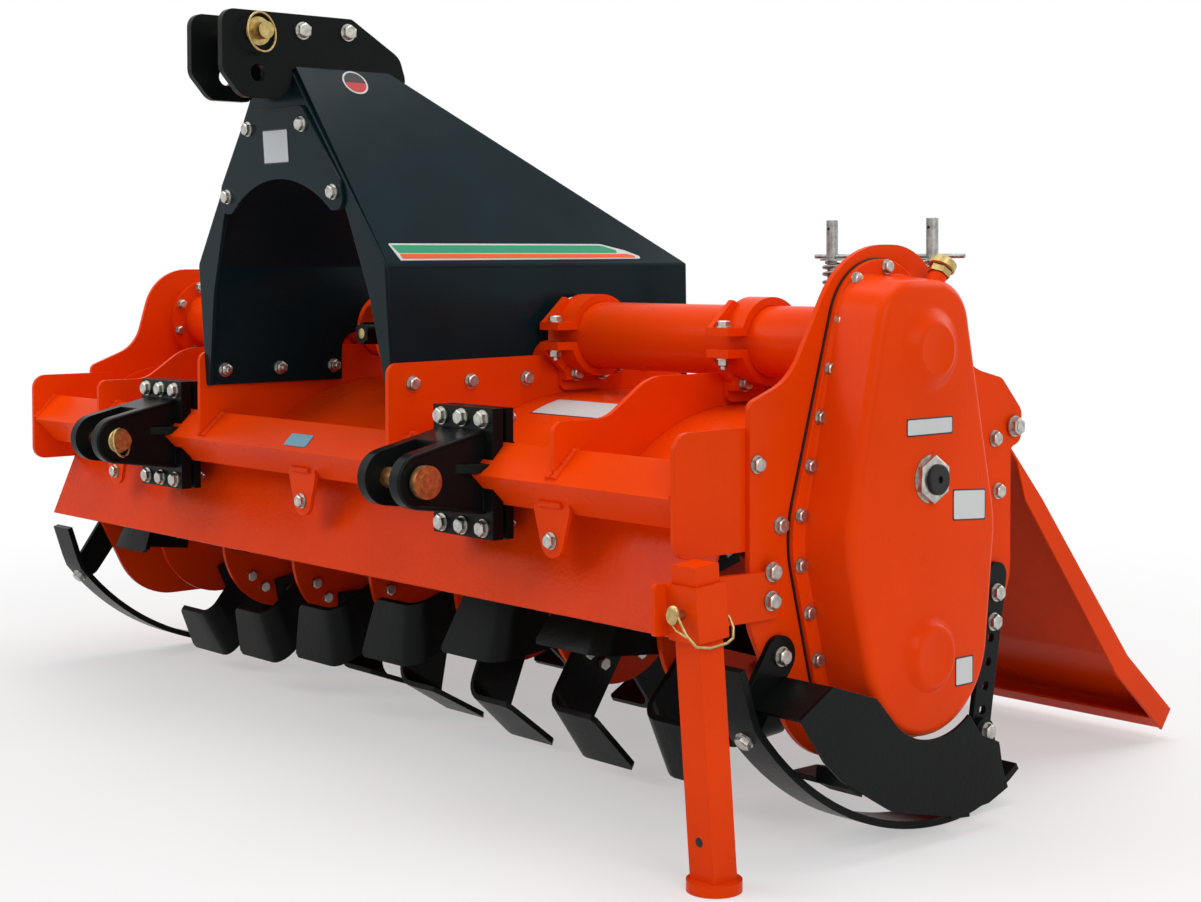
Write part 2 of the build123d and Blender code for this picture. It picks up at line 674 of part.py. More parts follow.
# ---- trailing board on its hinge rod ----
bend_1, bend_2, edge = [Vector(hinge_y + a, hinge_z - b) for a, b in zip(board_run, board_fall)]
slope_1 = (bend_1 - Vector(hinge_y, hinge_z)).normalized()
slope_2 = (bend_2 - bend_1).normalized()
slope_3 = (edge - bend_2).normalized()
square_3 = Vector(slope_3.Y, -slope_3.X)
board_top = Vector(hinge_y, hinge_z) + slope_1 * (knuckle_r + 7)
lip_1 = edge + square_3 * cheek_depth
lip_2 = lip_1 - slope_3 * board_lip
board_line = [(board_top, 0), (bend_1, 60), (bend_2, 60), (edge, 6), (lip_1, 6), (lip_2, 0)]
board_rows = [(p.X, p.Y, r) for p, r in board_line]
board = across(sheet_face(board_rows[::-1], sheet), -board_half, board_half)
cheek_rows = [
    (bend_1 - slope_1 * 93, 0),
    (bend_1, 0),
    (bend_2, 0),
    (edge, 0),
    (lip_1, 0),
    (lip_2, 0),
    (bend_2 + Vector(slope_2.Y, -slope_2.X) * cheek_depth, 0),
    (bend_1 + Vector(slope_1.Y, -slope_1.X) * cheek_in - slope_1 * 30, 20),
]
cheek_face = outline([(p.X, p.Y, r) for p, r in cheek_rows])
for x0 in (-board_half, board_half - sheet):
    board += across(cheek_face, x0, x0 + sheet)
down_1 = Vector(slope_1.Y, -slope_1.X)
web_start = Vector(hinge_y, hinge_z) + slope_1 * (knuckle_r - 3)
web_end = board_top + slope_1 * 3
web_rows = [web_start + down_1 * -0.5, web_end + down_1 * -0.5, web_end + down_1 * 4.5, web_start + down_1 * 4.5]
board_web = outline([(p.X, p.Y, 0) for p in web_rows])
for i in range(1, knuckle_count, 2):
    start = -board_half + i * knuckle_pitch + swing_gap / 2
    board += across(barrel + board_web - hinge_room, start, start + knuckle_length)

# lugs and pins for the rods' eyes, welded on the board
rod_y = hinge_y + rod_run
rod_foot = bend_1 + slope_2 * ((rod_y - bend_1.X) / slope_2.X)
rod_pin_z = rod_foot.Y + rod_pin_height
lug_thick = 6.0
eye_half = 6.0
eye_side = 2.0              # between the eye and a lug
pin_r = 6.0
rod_lug = hull([
    (rod_y, rod_pin_z, 13),
    (rod_y - 26, rod_pin_z - 15, 9),
    (rod_y + 4, rod_pin_z - 49, 9),
])
rod_lug -= outline([
    (bend_1.X - 100, bend_1.Y - 100, 0),
    (bend_1.X - 100, bend_1.Y - sheet / 2 - 100 * slope_2.Y / slope_2.X, 0),
    (bend_2.X, bend_2.Y - sheet / 2, 0),
    (bend_2.X, bend_1.Y - 400, 0),
])
for x in rod_xs:
    for x0 in (x - eye_half - eye_side - lug_thick, x + eye_half + eye_side):
        board += across(rod_lug, x0, x0 + lug_thick)
    pin_end = eye_half + eye_side + lug_thick + 4
    board += rod_x(rod_y, rod_pin_z, pin_r, x - pin_end, x + pin_end)
keep("trailing_board", board)
hinge_rod = rod_x(hinge_y, hinge_z, hinge_rod_r, -side_out - 16, side_out + 16)
keep("board_hinge_rod", hinge_rod)

# ---- spring rods that hold the board, in swivels on the hood ----
arm_gap = spring_r + swing_gap
swivel = Pos(rod_y, swivel_z)
hinge_clear = Pos(hinge_y, hinge_z) * Circle(knuckle_r + 9)
bracket_outline = hull([(rod_y, swivel_z, 20), (hinge_y - 63, hood_top + 26, 24)])
bracket_outline += outline([
    (hinge_y - 135, hood_top - 30, 0),
    (hinge_y - 135, hood_top + 12, 12),
    (hinge_y - 79, hood_top + 44, 0),
    (hinge_y - 35, hood_top + 20, 10),
    (hinge_y - 23, hood_top - 30, 0),
])
bracket_outline = bracket_outline - under_hood - hinge_clear - swivel * Circle(8 + fit)
eye_slot = 5.0              # half the slot's length, for the rod's slack
brackets = []
swivels = []
springs = []
rods = []
for x in rod_xs:
    for x0 in (x - arm_gap - 6, x + arm_gap):
        brackets.append(across(bracket_outline, x0, x0 + 6))
    body = Pos(x, rod_y, swivel_z) * Box(2 * swivel_half, 2 * swivel_half, 2 * swivel_half)
    body += rod_x(rod_y, swivel_z, 8, x - arm_gap - 10, x + arm_gap + 10)
    body -= Pos(x, rod_y, swivel_z) * Cylinder(rod_r + fit, 80)
    swivels.append(body)
    spring_foot = swivel_z + swivel_half + seat
    spring_height = spring_top_z - seat - spring_foot
    coil = Cylinder(spring_r, spring_height) - Cylinder(rod_r + 3, 2 * spring_height)
    springs.append(Pos(x, rod_y, spring_foot + spring_height / 2) * coil)
    slot = [(rod_y, rod_pin_z - eye_slot, pin_r + 1), (rod_y, rod_pin_z + eye_slot, pin_r + 1)]
    eye = hull([(a, b, r + 8) for a, b, r in slot]) - hull(slot)
    bar = across(eye, x - eye_half, x + eye_half)
    bar_foot = rod_pin_z + eye_slot + pin_r + 7
    bar += Pos(x, rod_y, bar_foot) * Cylinder(rod_r, rod_top_z - bar_foot, align=on_foot)
    bar += Pos(x, rod_y, spring_top_z) * Cylinder(spring_r + 3, 3, align=on_foot)
    rods.append(bar)
keep("rod_brackets", *brackets)
keep("rod_swivels", *swivels)
keep("rod_springs", *springs)
keep("spring_rods", *rods)

# ---- rotor: shaft with flanges, and its blades ----
rotor_tube_half = half_width - 24
flange_pitch = 2 * (half_width - end_gap) / (flange_count - 1)
shaft = rod_x(0, rotor_z, rotor_tube_r, -rotor_tube_half, rotor_tube_half)
shaft += rod_x(0, rotor_z, stub_r, -side_out - 32, side_out + 32)
flange_xs = [(i - (flange_count - 1) / 2) * flange_pitch for i in range(flange_count)]
for x in flange_xs:
    shaft += rod_x(0, rotor_z, flange_r, x - flange_thick / 2, x + flange_thick / 2)
keep("rotor_shaft", shaft)

# blade: flat shank bolted to the flange, bent over into a foot along the rotor
root_r = 72.0
bend_r = 22.0
blade_path = sheet_face([(blade_leg, blade_reach - 14, 0), (0, blade_reach - 3, bend_r), (0, root_r, 0)], blade_thick)
shank = along(blade_path, -blade_width / 2, blade_width / 2)
trim_face = Circle(blade_reach) & outline([(-blade_width / 2, root_r, 8), (blade_width / 2, root_r, 8),
                                           (blade_width / 2, blade_reach, 0), (-blade_width / 2, blade_reach, 0)])
trim = across(trim_face, -1, blade_leg + 20)
blade = shank & trim
left_hand = []
right_hand = []
for i, x in enumerate(flange_xs):
    for k in range(blades_each):
        turn = i * 360 / (flange_count * blades_each) * 2 + k * 360 / blades_each
        if i < flange_count - 1:
            piece = Pos(x + flange_thick / 2 + 0.1, 0, rotor_z) * Rot(turn, 0, 0) * blade
            right_hand.append(piece)
        if i > 0:
            turned = Rot(turn + 180 / blades_each, 0, 0) * mirror(blade, about=Plane.YZ)
            left_hand.append(Pos(x - flange_thick / 2 - 0.1, 0, rotor_z) * turned)
keep("rotor_blades_right_hand", *right_hand)
keep("rotor_blades_left_hand", *left_hand)

# ---- the part stands on Z = 0 with the middle of its footprint at the origin ----
boxes = [solid.bounding_box() for solids in nodes.values() for solid in solids]
low_x = min(b.min.X for b in boxes)
high_x = max(b.max.X for b in boxes)
low_y = min(b.min.Y for b in boxes)
high_y = max(b.max.Y for b in boxes)
low_z = min(b.min.Z for b in boxes)
shift = Vector(-(low_x + high_x) / 2, -(low_y + high_y) / 2, -low_z)
print("shift", round(shift.X, 4), round(shift.Y, 4), round(shift.Z, 4))
for name, solids in nodes.items():
    moved = [Pos(shift) * solid for solid in solids]
    export_step(moved[0] if len(moved) == 1 else Compound(moved), f"parts/{name}.step")
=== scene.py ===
import math

import bmesh
import bpy
import numpy as np
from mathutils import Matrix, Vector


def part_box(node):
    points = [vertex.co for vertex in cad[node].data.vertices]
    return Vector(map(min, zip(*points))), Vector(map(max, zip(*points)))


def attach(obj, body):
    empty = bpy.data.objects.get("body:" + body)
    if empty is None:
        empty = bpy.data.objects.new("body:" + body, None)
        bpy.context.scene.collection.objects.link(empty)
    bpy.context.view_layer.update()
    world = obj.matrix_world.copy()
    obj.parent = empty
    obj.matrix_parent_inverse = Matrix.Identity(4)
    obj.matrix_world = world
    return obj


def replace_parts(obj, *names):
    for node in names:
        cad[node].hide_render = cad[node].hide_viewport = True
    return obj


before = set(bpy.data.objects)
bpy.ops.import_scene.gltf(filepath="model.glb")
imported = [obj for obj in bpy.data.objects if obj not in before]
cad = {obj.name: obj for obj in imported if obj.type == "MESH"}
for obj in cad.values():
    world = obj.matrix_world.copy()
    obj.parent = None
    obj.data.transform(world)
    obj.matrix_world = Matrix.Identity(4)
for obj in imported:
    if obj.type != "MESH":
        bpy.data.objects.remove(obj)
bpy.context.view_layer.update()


# ---- Frame: hood, apron, beam, side plates, ribs ----
# Folded and welded from steel sheet and plate, then sprayed all over with
# orange-red enamel, which dries with a faint orange-peel skin.

def enamel(name, colour, roughness=0.28, peel=0.12, peel_size=420.0, shine=0.05, coat=0.015, tone=0.07):
    """Sprayed paint: the colour drifts slowly over the surface, the gloss varies
    a little, edges are rounded by the film and the skin has fine peel."""
    material = bpy.data.materials.new(name)
    material.use_nodes = True
    tree = material.node_tree
    shader = tree.nodes["Principled BSDF"]
    shader.inputs["Specular IOR Level"].default_value = shine
    shader.inputs["Coat Weight"].default_value = coat
    shader.inputs["Coat Roughness"].default_value = 0.08
    place = tree.nodes.new("ShaderNodeTexCoord")
    drift = tree.nodes.new("ShaderNodeTexNoise")
    drift.inputs["Scale"].default_value = 5.0
    drift.inputs["Detail"].default_value = 4.0
    tree.links.new(place.outputs["Object"], drift.inputs["Vector"])
    tint = tree.nodes.new("ShaderNodeValToRGB")
    tint.color_ramp.elements[0].position = 0.3
    tint.color_ramp.elements[1].position = 0.7
    tint.color_ramp.elements[0].color = [c * (1 - tone) for c in colour] + [1]
    tint.color_ramp.elements[1].color = [min(1, c * (1 + tone)) for c in colour] + [1]
    tree.links.new(drift.outputs["Fac"], tint.inputs["Fac"])
    tree.links.new(tint.outputs["Color"], shader.inputs["Base Color"])
    haze = tree.nodes.new("ShaderNodeTexNoise")
    haze.inputs["Scale"].default_value = 28.0
    haze.inputs["Detail"].default_value = 5.0
    tree.links.new(place.outputs["Object"], haze.inputs["Vector"])
    gloss = tree.nodes.new("ShaderNodeMapRange")
    gloss.inputs["To Min"].default_value = roughness - 0.05
    gloss.inputs["To Max"].default_value = roughness + 0.07
    tree.links.new(haze.outputs["Fac"], gloss.inputs["Value"])
    tree.links.new(gloss.outputs["Result"], shader.inputs["Roughness"])
    skin = tree.nodes.new("ShaderNodeTexNoise")
    skin.inputs["Scale"].default_value = peel_size
    skin.inputs["Detail"].default_value = 2.0
    tree.links.new(place.outputs["Object"], skin.inputs["Vector"])
    edge = tree.nodes.new("ShaderNodeBevel")
    edge.samples = 4
    edge.inputs["Radius"].default_value = 0.0016
    bump = tree.nodes.new("ShaderNodeBump")
    bump.inputs["Strength"].default_value = peel
    bump.inputs["Distance"].default_value = 0.0006
    tree.links.new(skin.outputs["Fac"], bump.inputs["Height"])
    tree.links.new(edge.outputs["Normal"], bump.inputs["Normal"])
    tree.links.new(bump.outputs["Normal"], shader.inputs["Normal"])
    return material


orange = enamel("orange_enamel", (0.80, 0.052, 0.001))
peeled_orange = enamel("orange_enamel_peel", (0.74, 0.046, 0.001), 0.26, 1.0, 200.0, 0.06)


def paint(material, *names):
    """Gives CAD nodes a finish."""
    for name in names:
        slots = cad[name].data.materials
        slots.clear()
        slots.append(material)


frame_nodes = (
    "hood", "hood_ribs", "front_beam", "mast_mount_plates", "frame_end_plate_left", "frame_end_plate_right",
)
paint(orange, *frame_nodes)
paint(peeled_orange, "apron")

# The machine's own measures, in millimetres from the middle of the rotor above
# the ground: X to the gear-drive side, -Y to the tractor, Z up.
shaft_box = np.array(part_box("rotor_shaft"))
axle = shaft_box.mean(0) * (1, 1, 0)
rotor_z = shaft_box.mean(0)[2] * 1000
half_width = 853.0
side_out = 861.0
hood_top = 552.0
tube_z = 640.0
hinge_y = 285.0
hinge_z = rotor_z + 275


def loft(rings, ring=False):
    """Skin over rings of points: point j of ring i joins j + 1 and the ring
    after, and each end is closed by one face unless the rings meet again."""
    rings = np.asarray(rings, float)
    levels, around = rings.shape[:2]
    i, j = np.meshgrid(np.arange(levels - 1 + ring), np.arange(around), indexing="ij")
    up, on = (i + 1) % levels, (j + 1) % around
    quads = np.stack([i * around + j, i * around + on, up * around + on, up * around + j], -1)
    faces = quads.reshape(-1, 4).tolist()
    if not ring:
        last = (levels - 1) * around
        faces += [list(range(around))[::-1], list(range(last, last + around))]
    return rings.reshape(-1, 3), faces


def piece(name, shells, finish, body="frame", crease=32.0):
    """One object made of closed shells of (points in millimetres, faces), whose
    places are divided by 1000 and moved to the rotor's middle."""
    starts = np.cumsum([0] + [len(shell[0]) for shell in shells])
    faces = [[c + start for c in face] for start, shell in zip(starts, shells) for face in shell[1]]
    mesh = bpy.data.meshes.new(name)
    places = np.concatenate([shell[0] for shell in shells]) / 1000 + axle
    mesh.from_pydata(places.tolist(), [], faces)
    shape = bmesh.new()
    shape.from_mesh(mesh)
    bmesh.ops.recalc_face_normals(shape, faces=shape.faces)
    shape.to_mesh(mesh)
    shape.free()
    mesh.shade_smooth()
    mesh.set_sharp_from_angle(angle=math.radians(crease))
    mesh.materials.append(finish)
    made = bpy.data.objects.new(name, mesh)
    bpy.context.collection.objects.link(made)
    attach(made, body)
    return made


def rounded(rows, steps=6):
    """Closed outline from rows of (across, up, corner radius): each corner is an
    arc that touches both sides at radius / tan(half the corner's angle). One
    with no radius, or that hardly turns, stays a point."""
    nearly_straight = 1.56
    corners = np.array([row[:2] for row in rows], float)
    found = []
    for before, corner, after, row in zip(np.roll(corners, 1, 0), corners, np.roll(corners, -1, 0), rows):
        a = (before - corner) / np.linalg.norm(before - corner)
        b = (after - corner) / np.linalg.norm(after - corner)
        half = math.acos(np.clip(a @ b, -1, 1)) / 2
        radius = row[2]
        if radius == 0 or half > nearly_straight:
            found.append(corner[None])
            continue
        centre = corner + (a + b) / np.linalg.norm(a + b) * radius / math.sin(half)
        start = (corner + a * radius / math.tan(half) - centre) / radius
        end = (corner + b * radius / math.tan(half) - centre) / radius
        sweep = math.acos(np.clip(start @ end, -1, 1))
        t = np.linspace(0, 1, steps + 1)[:, None]
        arc = (np.sin((1 - t) * sweep) * start + np.sin(t * sweep) * end) / math.sin(sweep)
        found.append(centre + arc * radius)
    return np.concatenate(found)


def slab(outline, x0, x1):
    """Plate cut to an outline in (y, z), from x0 to x1."""
    face = np.asarray(outline)
    return loft([np.insert(face, 0, x, axis=1) for x in (x0, x1)])


# Side plates, as rows of (y, z, corner radius). Both end alike, with the lug of
# the board's hinge rod and a round foot below the rotor's bearing.
side_front, side_rear = -244.0, hinge_y - 3
lug_half = 22.0
foot_half, foot_z = 150.0, rotor_z - 132
plate_foot = [
    (hinge_y + lug_half, hinge_z + lug_half, 18),
    (hinge_y + lug_half, hinge_z - lug_half, 18),
    (side_rear, hinge_z - 30, 10),
    (side_rear, rotor_z + 56, 90),
    (foot_half, foot_z, 120),
    (-foot_half, foot_z, 120),
    (side_front, rotor_z + 56, 60),
]
# the drive side's dome stands behind the gear case; the other side's is lower
drive_dome, left_dome, left_half = tube_z + 133, tube_z + 98, 108.0
drive_rows = [
    (side_front, hood_top + 24, 14),
    (side_front + 74, hood_top + 51, 90),
    (-70, drive_dome, 138),
    (86, drive_dome, 108),
    (hinge_y - 99, hood_top + 54, 80),
    (hinge_y - 23, hinge_z + 69, 22),
]
left_rows = [
    (side_front, hood_top + 6, 14),
    (side_front + 94, hood_top + 42, 70),
    (-left_half, left_dome, 90),
    (left_half, left_dome, 90),
    (left_half + 24, hood_top + 74, 40),
    (hinge_y - 21, hood_top + 30, 20),
]
for name, node, rows, x0, x1 in (
        ("drive_side_plate", "side_plate_right", drive_rows, half_width, side_out),
        ("left_side_plate", "side_plate_left", left_rows, -side_out, -half_width)):
    plate = slab(rounded(rows + plate_foot, 10), x0, x1)
    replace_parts(piece(name, [plate], orange), node)


# ---- Hex bolts of the frame ----
# Bright zinc hexagon bolts on flat washers hold the side plates, the apron,
# the mast's feet and the end brackets; nuts with bolt ends close the far side.

def plating(name, colour, roughness):
    """Zinc plate: metal with a mottled gloss and a fine drawn grain."""
    material = bpy.data.materials.new(name)
    material.use_nodes = True
    tree = material.node_tree
    shader = tree.nodes["Principled BSDF"]
    shader.inputs["Metallic"].default_value = 1.0
    place = tree.nodes.new("ShaderNodeTexCoord")
    mottle = tree.nodes.new("ShaderNodeTexNoise")
    mottle.inputs["Scale"].default_value = 130.0
    mottle.inputs["Detail"].default_value = 6.0
    tree.links.new(place.outputs["Object"], mottle.inputs["Vector"])
    tint = tree.nodes.new("ShaderNodeValToRGB")
    tint.color_ramp.elements[0].position = 0.35
    tint.color_ramp.elements[1].position = 0.65
    tint.color_ramp.elements[0].color = [c * 0.72 for c in colour] + [1]
    tint.color_ramp.elements[1].color = [min(1, c * 1.1) for c in colour] + [1]
    tree.links.new(mottle.outputs["Fac"], tint.inputs["Fac"])
    tree.links.new(tint.outputs["Color"], shader.inputs["Base Color"])
    gloss = tree.nodes.new("ShaderNodeMapRange")
    gloss.inputs["To Min"].default_value = roughness - 0.08
    gloss.inputs["To Max"].default_value = roughness + 0.1
    tree.links.new(mottle.outputs["Fac"], gloss.inputs["Value"])
    tree.links.new(gloss.outputs["Result"], shader.inputs["Roughness"])
    bump = tree.nodes.new("ShaderNodeBump")
    bump.inputs["Strength"].default_value = 0.15
    bump.inputs["Distance"].default_value = 0.0004
    tree.links.new(mottle.outputs["Fac"], bump.inputs["Height"])
    tree.links.new(bump.outputs["Normal"], shader.inputs["Normal"])
    return material


zinc = plating("bright_zinc", (0.50, 0.49, 0.45), 0.36)


def spun(rows, around=18):
    """Rows of (radius, height, flats) turned round +Z: a ring for each row, round,
    or with flats whose points lie at radius / cos(angle from a flat's middle)."""
    turn = np.arange(around) * 2 * np.pi / around
    rings = []
    for radius, height, flats in rows:
        reach = np.full(around, float(radius))
        if flats:
            part = 2 * np.pi / flats
            reach = radius / np.cos(turn % part - part / 2)
        rings.append(np.stack([reach * np.cos(turn), reach * np.sin(turn), np.full(around, height)], -1))
    return loft(rings)


def stood(shell, place, along, size=1.0):
    """A shell made round +Z, stood on a place and pointing along a direction."""
    along = np.array(along, float) / np.linalg.norm(along)
    side = np.cross(along, (0.31, 0.52, 0.80))
    side /= np.linalg.norm(side)
    turned = shell[0] * size @ np.stack([side, np.cross(along, side), along])
    return turned + np.array(place, float), shell[1]


head = spun([(11.5, 0, 0), (11.5, 2, 0), (8.6, 2.1, 6), (8.6, 8.2, 6), (7.5, 9.4, 0)])
nut = spun([
    (11.5, 0, 0), (11.5, 2, 0), (8.6, 2.1, 6), (8.6, 9.6, 6), (7.2, 10.8, 0),
    (4.9, 10.9, 0), (4.9, 15.4, 0), (4.0, 16.4, 0),
])


def both(rows):
    """Rows of (x, y, z, direction) and the same on the other side."""
    return rows + [(-x, y, z, (-d[0], d[1], d[2])) for x, y, z, d in rows]


def bolts(name, rows, shape=head, size=1.0, body="frame"):
    """One object of equal bolts or nuts from rows of (x, y, z, direction)."""
    shells = [stood(shape, (x, y, z), d, size) for x, y, z, d in rows]
    return piece(name, shells, zinc, body)


out_x, to_front = (1, 0, 0), (0, -1, 0)
plate_bolts = [(side_out, y, z, out_x) for y, z in ((-232, 500), (-190, 421), (244, 504), (252, 430))]
bolts("side_plate_bolts", both(plate_bolts))
tab_xs, tab_y, tab_z = (-590.0, 0.0, 590.0), -335.0, 387.0
bolts("apron_tab_bolts", [(x, tab_y, tab_z, to_front) for x in tab_xs])


# ---- Mast ----
# Two side panels bent from 6 mm plate, a leaning front plate with its arch and
# a bolted crown, enamelled gloss black, whose blue-grey tint is a painted
# reflection of the sky; bolted to the orange mount plates.
# the blue-grey in this black is painted reflection of a pale sky above
mast_black_painted_reflection = enamel("black_enamel_painted_sky_reflection", (0.004, 0.014, 0.018), 0.2, 0.06, 500.0, 0.09, 0.02, 0.2)
paint(mast_black_painted_reflection, "mast_arch_plate")
mast_half, mast_top_half = 256.0, 50.3
mast_top, mast_fold, mast_foot = 1042.0, 748.0, 553.0
mast_gauge = 6.0
mast_rear = 233.0
lean = math.radians(3.6)
arch_top_y = -374.0


def arch_y(z):
    """Rear face of the leaning arch plate at height z."""
    return arch_top_y + (mast_top - z) * math.tan(lean)


slope = math.atan2(mast_half - mast_top_half, mast_top - mast_fold)
bend = 14.0
fold_low = mast_fold - bend * math.tan(slope / 2)
rear_slope = 1.489          # the sloped part's rear edge, run over rise
tube_room = 58.0            # radius of the notch for the torque tube
leg_rear = -90.0
leg_top = tube_z - 8
turn = np.linspace(0, slope, 7)
fold_x = mast_half - bend + bend * np.cos(turn)
fold_z = fold_low + bend * np.sin(turn)
line_x = np.append(fold_x, mast_top_half)
line_z = np.append(fold_z, mast_top)
square_off = np.append(turn, slope)     # turn of the sheet's normal along the line
thin_x = line_x - mast_gauge * np.cos(square_off)
thin_z = line_z - mast_gauge * np.sin(square_off)
rear_y = np.where(line_z > mast_fold, mast_rear - rear_slope * (line_z - mast_fold), mast_rear)
panel_rings = np.stack([
    np.stack([line_x, arch_y(line_z), line_z], -1),
    np.stack([line_x, rear_y, line_z], -1),
    np.stack([thin_x, rear_y, thin_z], -1),
    np.stack([thin_x, arch_y(line_z), thin_z], -1),
], 1)
# the upright wall below the fold, as rows of (y, z, corner radius)
wall_rows = [
    (arch_y(mast_foot), mast_foot, 0),
    (arch_y(fold_low), fold_low, 0),
    (mast_rear, fold_low, 0),
    (mast_rear + 3, mast_foot, 12),
    (tube_room, mast_foot, 0),
    (tube_room, tube_z + tube_room, tube_room - 0.1),
    (-tube_room, tube_z + tube_room, tube_room - 0.1),
    (-tube_room, leg_top, 0),
    (leg_rear, leg_top, 30),
    (leg_rear, mast_foot, 0),
]
wall = slab(rounded(wall_rows, 10), mast_half - mast_gauge, mast_half)
panel = [loft(panel_rings), wall]


def flipped(shell):
    """The same shell on the other side of the machine."""
    return shell[0] * (-1, 1, 1), shell[1]


right_panel = piece("mast_side_right", panel, mast_black_painted_reflection)
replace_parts(right_panel, "mast_panel_right")
left_panel = piece("mast_side_left", [flipped(shell) for shell in panel], mast_black_painted_reflection)
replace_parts(left_panel, "mast_panel_left")


def on_arch(across, up, off):
    """Places on the arch plate: across, up its lean, and off its rear face to the front."""
    across, up = np.broadcast_arrays(across, up)
    y = arch_y(mast_foot) - off * math.cos(lean) - up * math.sin(lean)
    return np.stack([across, y, mast_foot - off * math.sin(lean) + up * math.cos(lean)], -1)


arch_gauge, crown_gauge = 6.0, 5.0
crown_off = arch_gauge + crown_gauge
crown_arch_r, crown_arch_up, crown_foot = 215.0, 110.0, 284.0
crown_turn = math.asin((crown_foot - crown_arch_up) / crown_arch_r)
lobe_foot = crown_foot - 9
crown_half = [
    (-crown_arch_r * math.cos(crown_turn), crown_foot, 4),
    (-138, lobe_foot, 10),
    (-170, lobe_foot, 18),
    (-164, 318, 14),
    (-74, 432, 16),
]
crown_rows = crown_half + [(-a, b, r) for a, b, r in crown_half[::-1]]
turn = np.linspace(crown_turn, math.pi - crown_turn, 25)[1:-1]
crown_arc = np.stack([crown_arch_r * np.cos(turn), crown_arch_up + crown_arch_r * np.sin(turn)], -1)
crown = np.concatenate([rounded(crown_rows, 8), crown_arc])
crown_shell = loft([on_arch(crown[:, 0], crown[:, 1], off) for off in (crown_off, arch_gauge)])
piece("mast_crown", [crown_shell], mast_black_painted_reflection)
up_arch = on_arch(0, 1, 0) - on_arch(0, 0, 0)
off_arch = on_arch(0, 0, 1) - on_arch(0, 0, 0)
crown_spots = ((-74, 404), (74, 404), (-146, 302), (146, 302))
bolts("mast_crown_bolts", [(*on_arch(a, b, crown_off), off_arch) for a, b in crown_spots])
mount_gauge = 8.0
foot_rows = [(y, 577) for y in (-319, -214, -108)] + [(78, 590), (133, 590)]
bolts("mast_foot_bolts", both([(mast_half + mount_gauge, y, z, out_x) for y, z in foot_rows]))
inside = (-1, 0, 0)
bolts("mast_foot_nuts", both([(mast_half - mast_gauge, y, z, inside) for y, z in foot_rows]), nut)


# ---- Stickers, left blank ----
# Printed vinyl under a clear film, stuck on flat paint: plain white or silver
# fields with a thin dark edge, and a green and orange band along the fold.

def vinyl(name, colour):
    """Satin film with faint dust in slow patches."""
    return enamel(name, colour, 0.34, 0.05, 90.0, 0.3, 0.05, 0.05)


white_film = vinyl("white_film", (0.62, 0.64, 0.64))
dark_film = vinyl("dark_film", (0.012, 0.012, 0.014))
silver_film = vinyl("silver_film", (0.50, 0.52, 0.54))
green_film = vinyl("green_film", (0.012, 0.30, 0.12))
orange_film = vinyl("orange_film", (0.80, 0.10, 0.012))
red_film = vinyl("red_film", (0.48, 0.02, 0.02))
blue_film = vinyl("blue_film", (0.16, 0.34, 0.46))


def sticker(name, place, outline, film, lift, thick=0.25):
    """Film cut to an outline in a plane given by its corner, two sides and normal."""
    corner, side, up = (np.array(part, float) for part in place)
    side /= np.linalg.norm(side)
    up /= np.linalg.norm(up)
    normal = np.cross(side, up)
    flat = corner + outline[:, :1] * side + outline[:, 1:] * up
    return piece(name, [loft([flat + normal * (lift - 0.4), flat + normal * (lift + thick)])], film)


def framed(name, place, width, height, film=white_film):
    """Blank plate: a dark field with a pale field just inside its edge."""
    for label, inset, colour, lift in (("edge", 0.0, dark_film, 0.2), ("field", 1.8, film, 0.4)):
        low, right, top = inset, width - inset, height - inset
        rows = [(low, low, 2), (right, low, 2), (right, top, 2), (low, top, 2)]
        sticker(f"{name}_{label}", place, rounded(rows, 3), colour, lift)


mast_label = (on_arch(-35, 348, crown_off), out_x, up_arch)
framed("mast_label", mast_label, 70, 52, silver_film)
panel_up = np.array([-math.sin(slope), 0, math.cos(slope)])
panel_place = ((fold_x[-1], 0, fold_z[-1]), (0, 1, 0), panel_up)
# the band along the fold, as rows of (y, up the slope, corner radius)
band_white = [(-330, 2, 2), (150, 5, 3), (112, 21, 24), (66, 33, 40), (-341, 32, 2)]
band_green = [(-328, 15, 1), (110, 16, 3), (66, 30, 36), (-337, 29, 1)]
band_orange = [(-326, 5, 1), (142, 7, 2), (114, 14, 6), (-328, 13.6, 1)]
for label, rows, film, lift in (
        ("band_edge", band_white, white_film, 0.2),
        ("band_green", band_green, green_film, 0.4),
        ("band_orange", band_orange, orange_film, 0.4)):
    sticker(f"mast_{label}", panel_place, rounded(rows, 8), film, lift)


def disc(radius, low=0.0, high=2 * math.pi, around=40):
    """Outline of a disc, or of the part between two directions: radius times
    (cos, sin) of even turns. A whole disc leaves its last turn out."""
    whole = high - low > 6
    turn = np.linspace(low, high, around, endpoint=not whole)
    return radius * np.stack([np.cos(turn), np.sin(turn)], -1)


round_spot = np.array((-277, 331))
round_edge, round_field = 22.0, 19.0
for label, outline, film, lift in (
        ("edge", disc(round_edge), white_film, 0.2),
        ("upper", disc(round_field, 0, math.pi), dark_film, 0.4),
        ("lower", disc(round_field, math.pi, 2 * math.pi), red_film, 0.4)):
    sticker(f"mast_round_{label}", panel_place, outline + round_spot, film, lift)
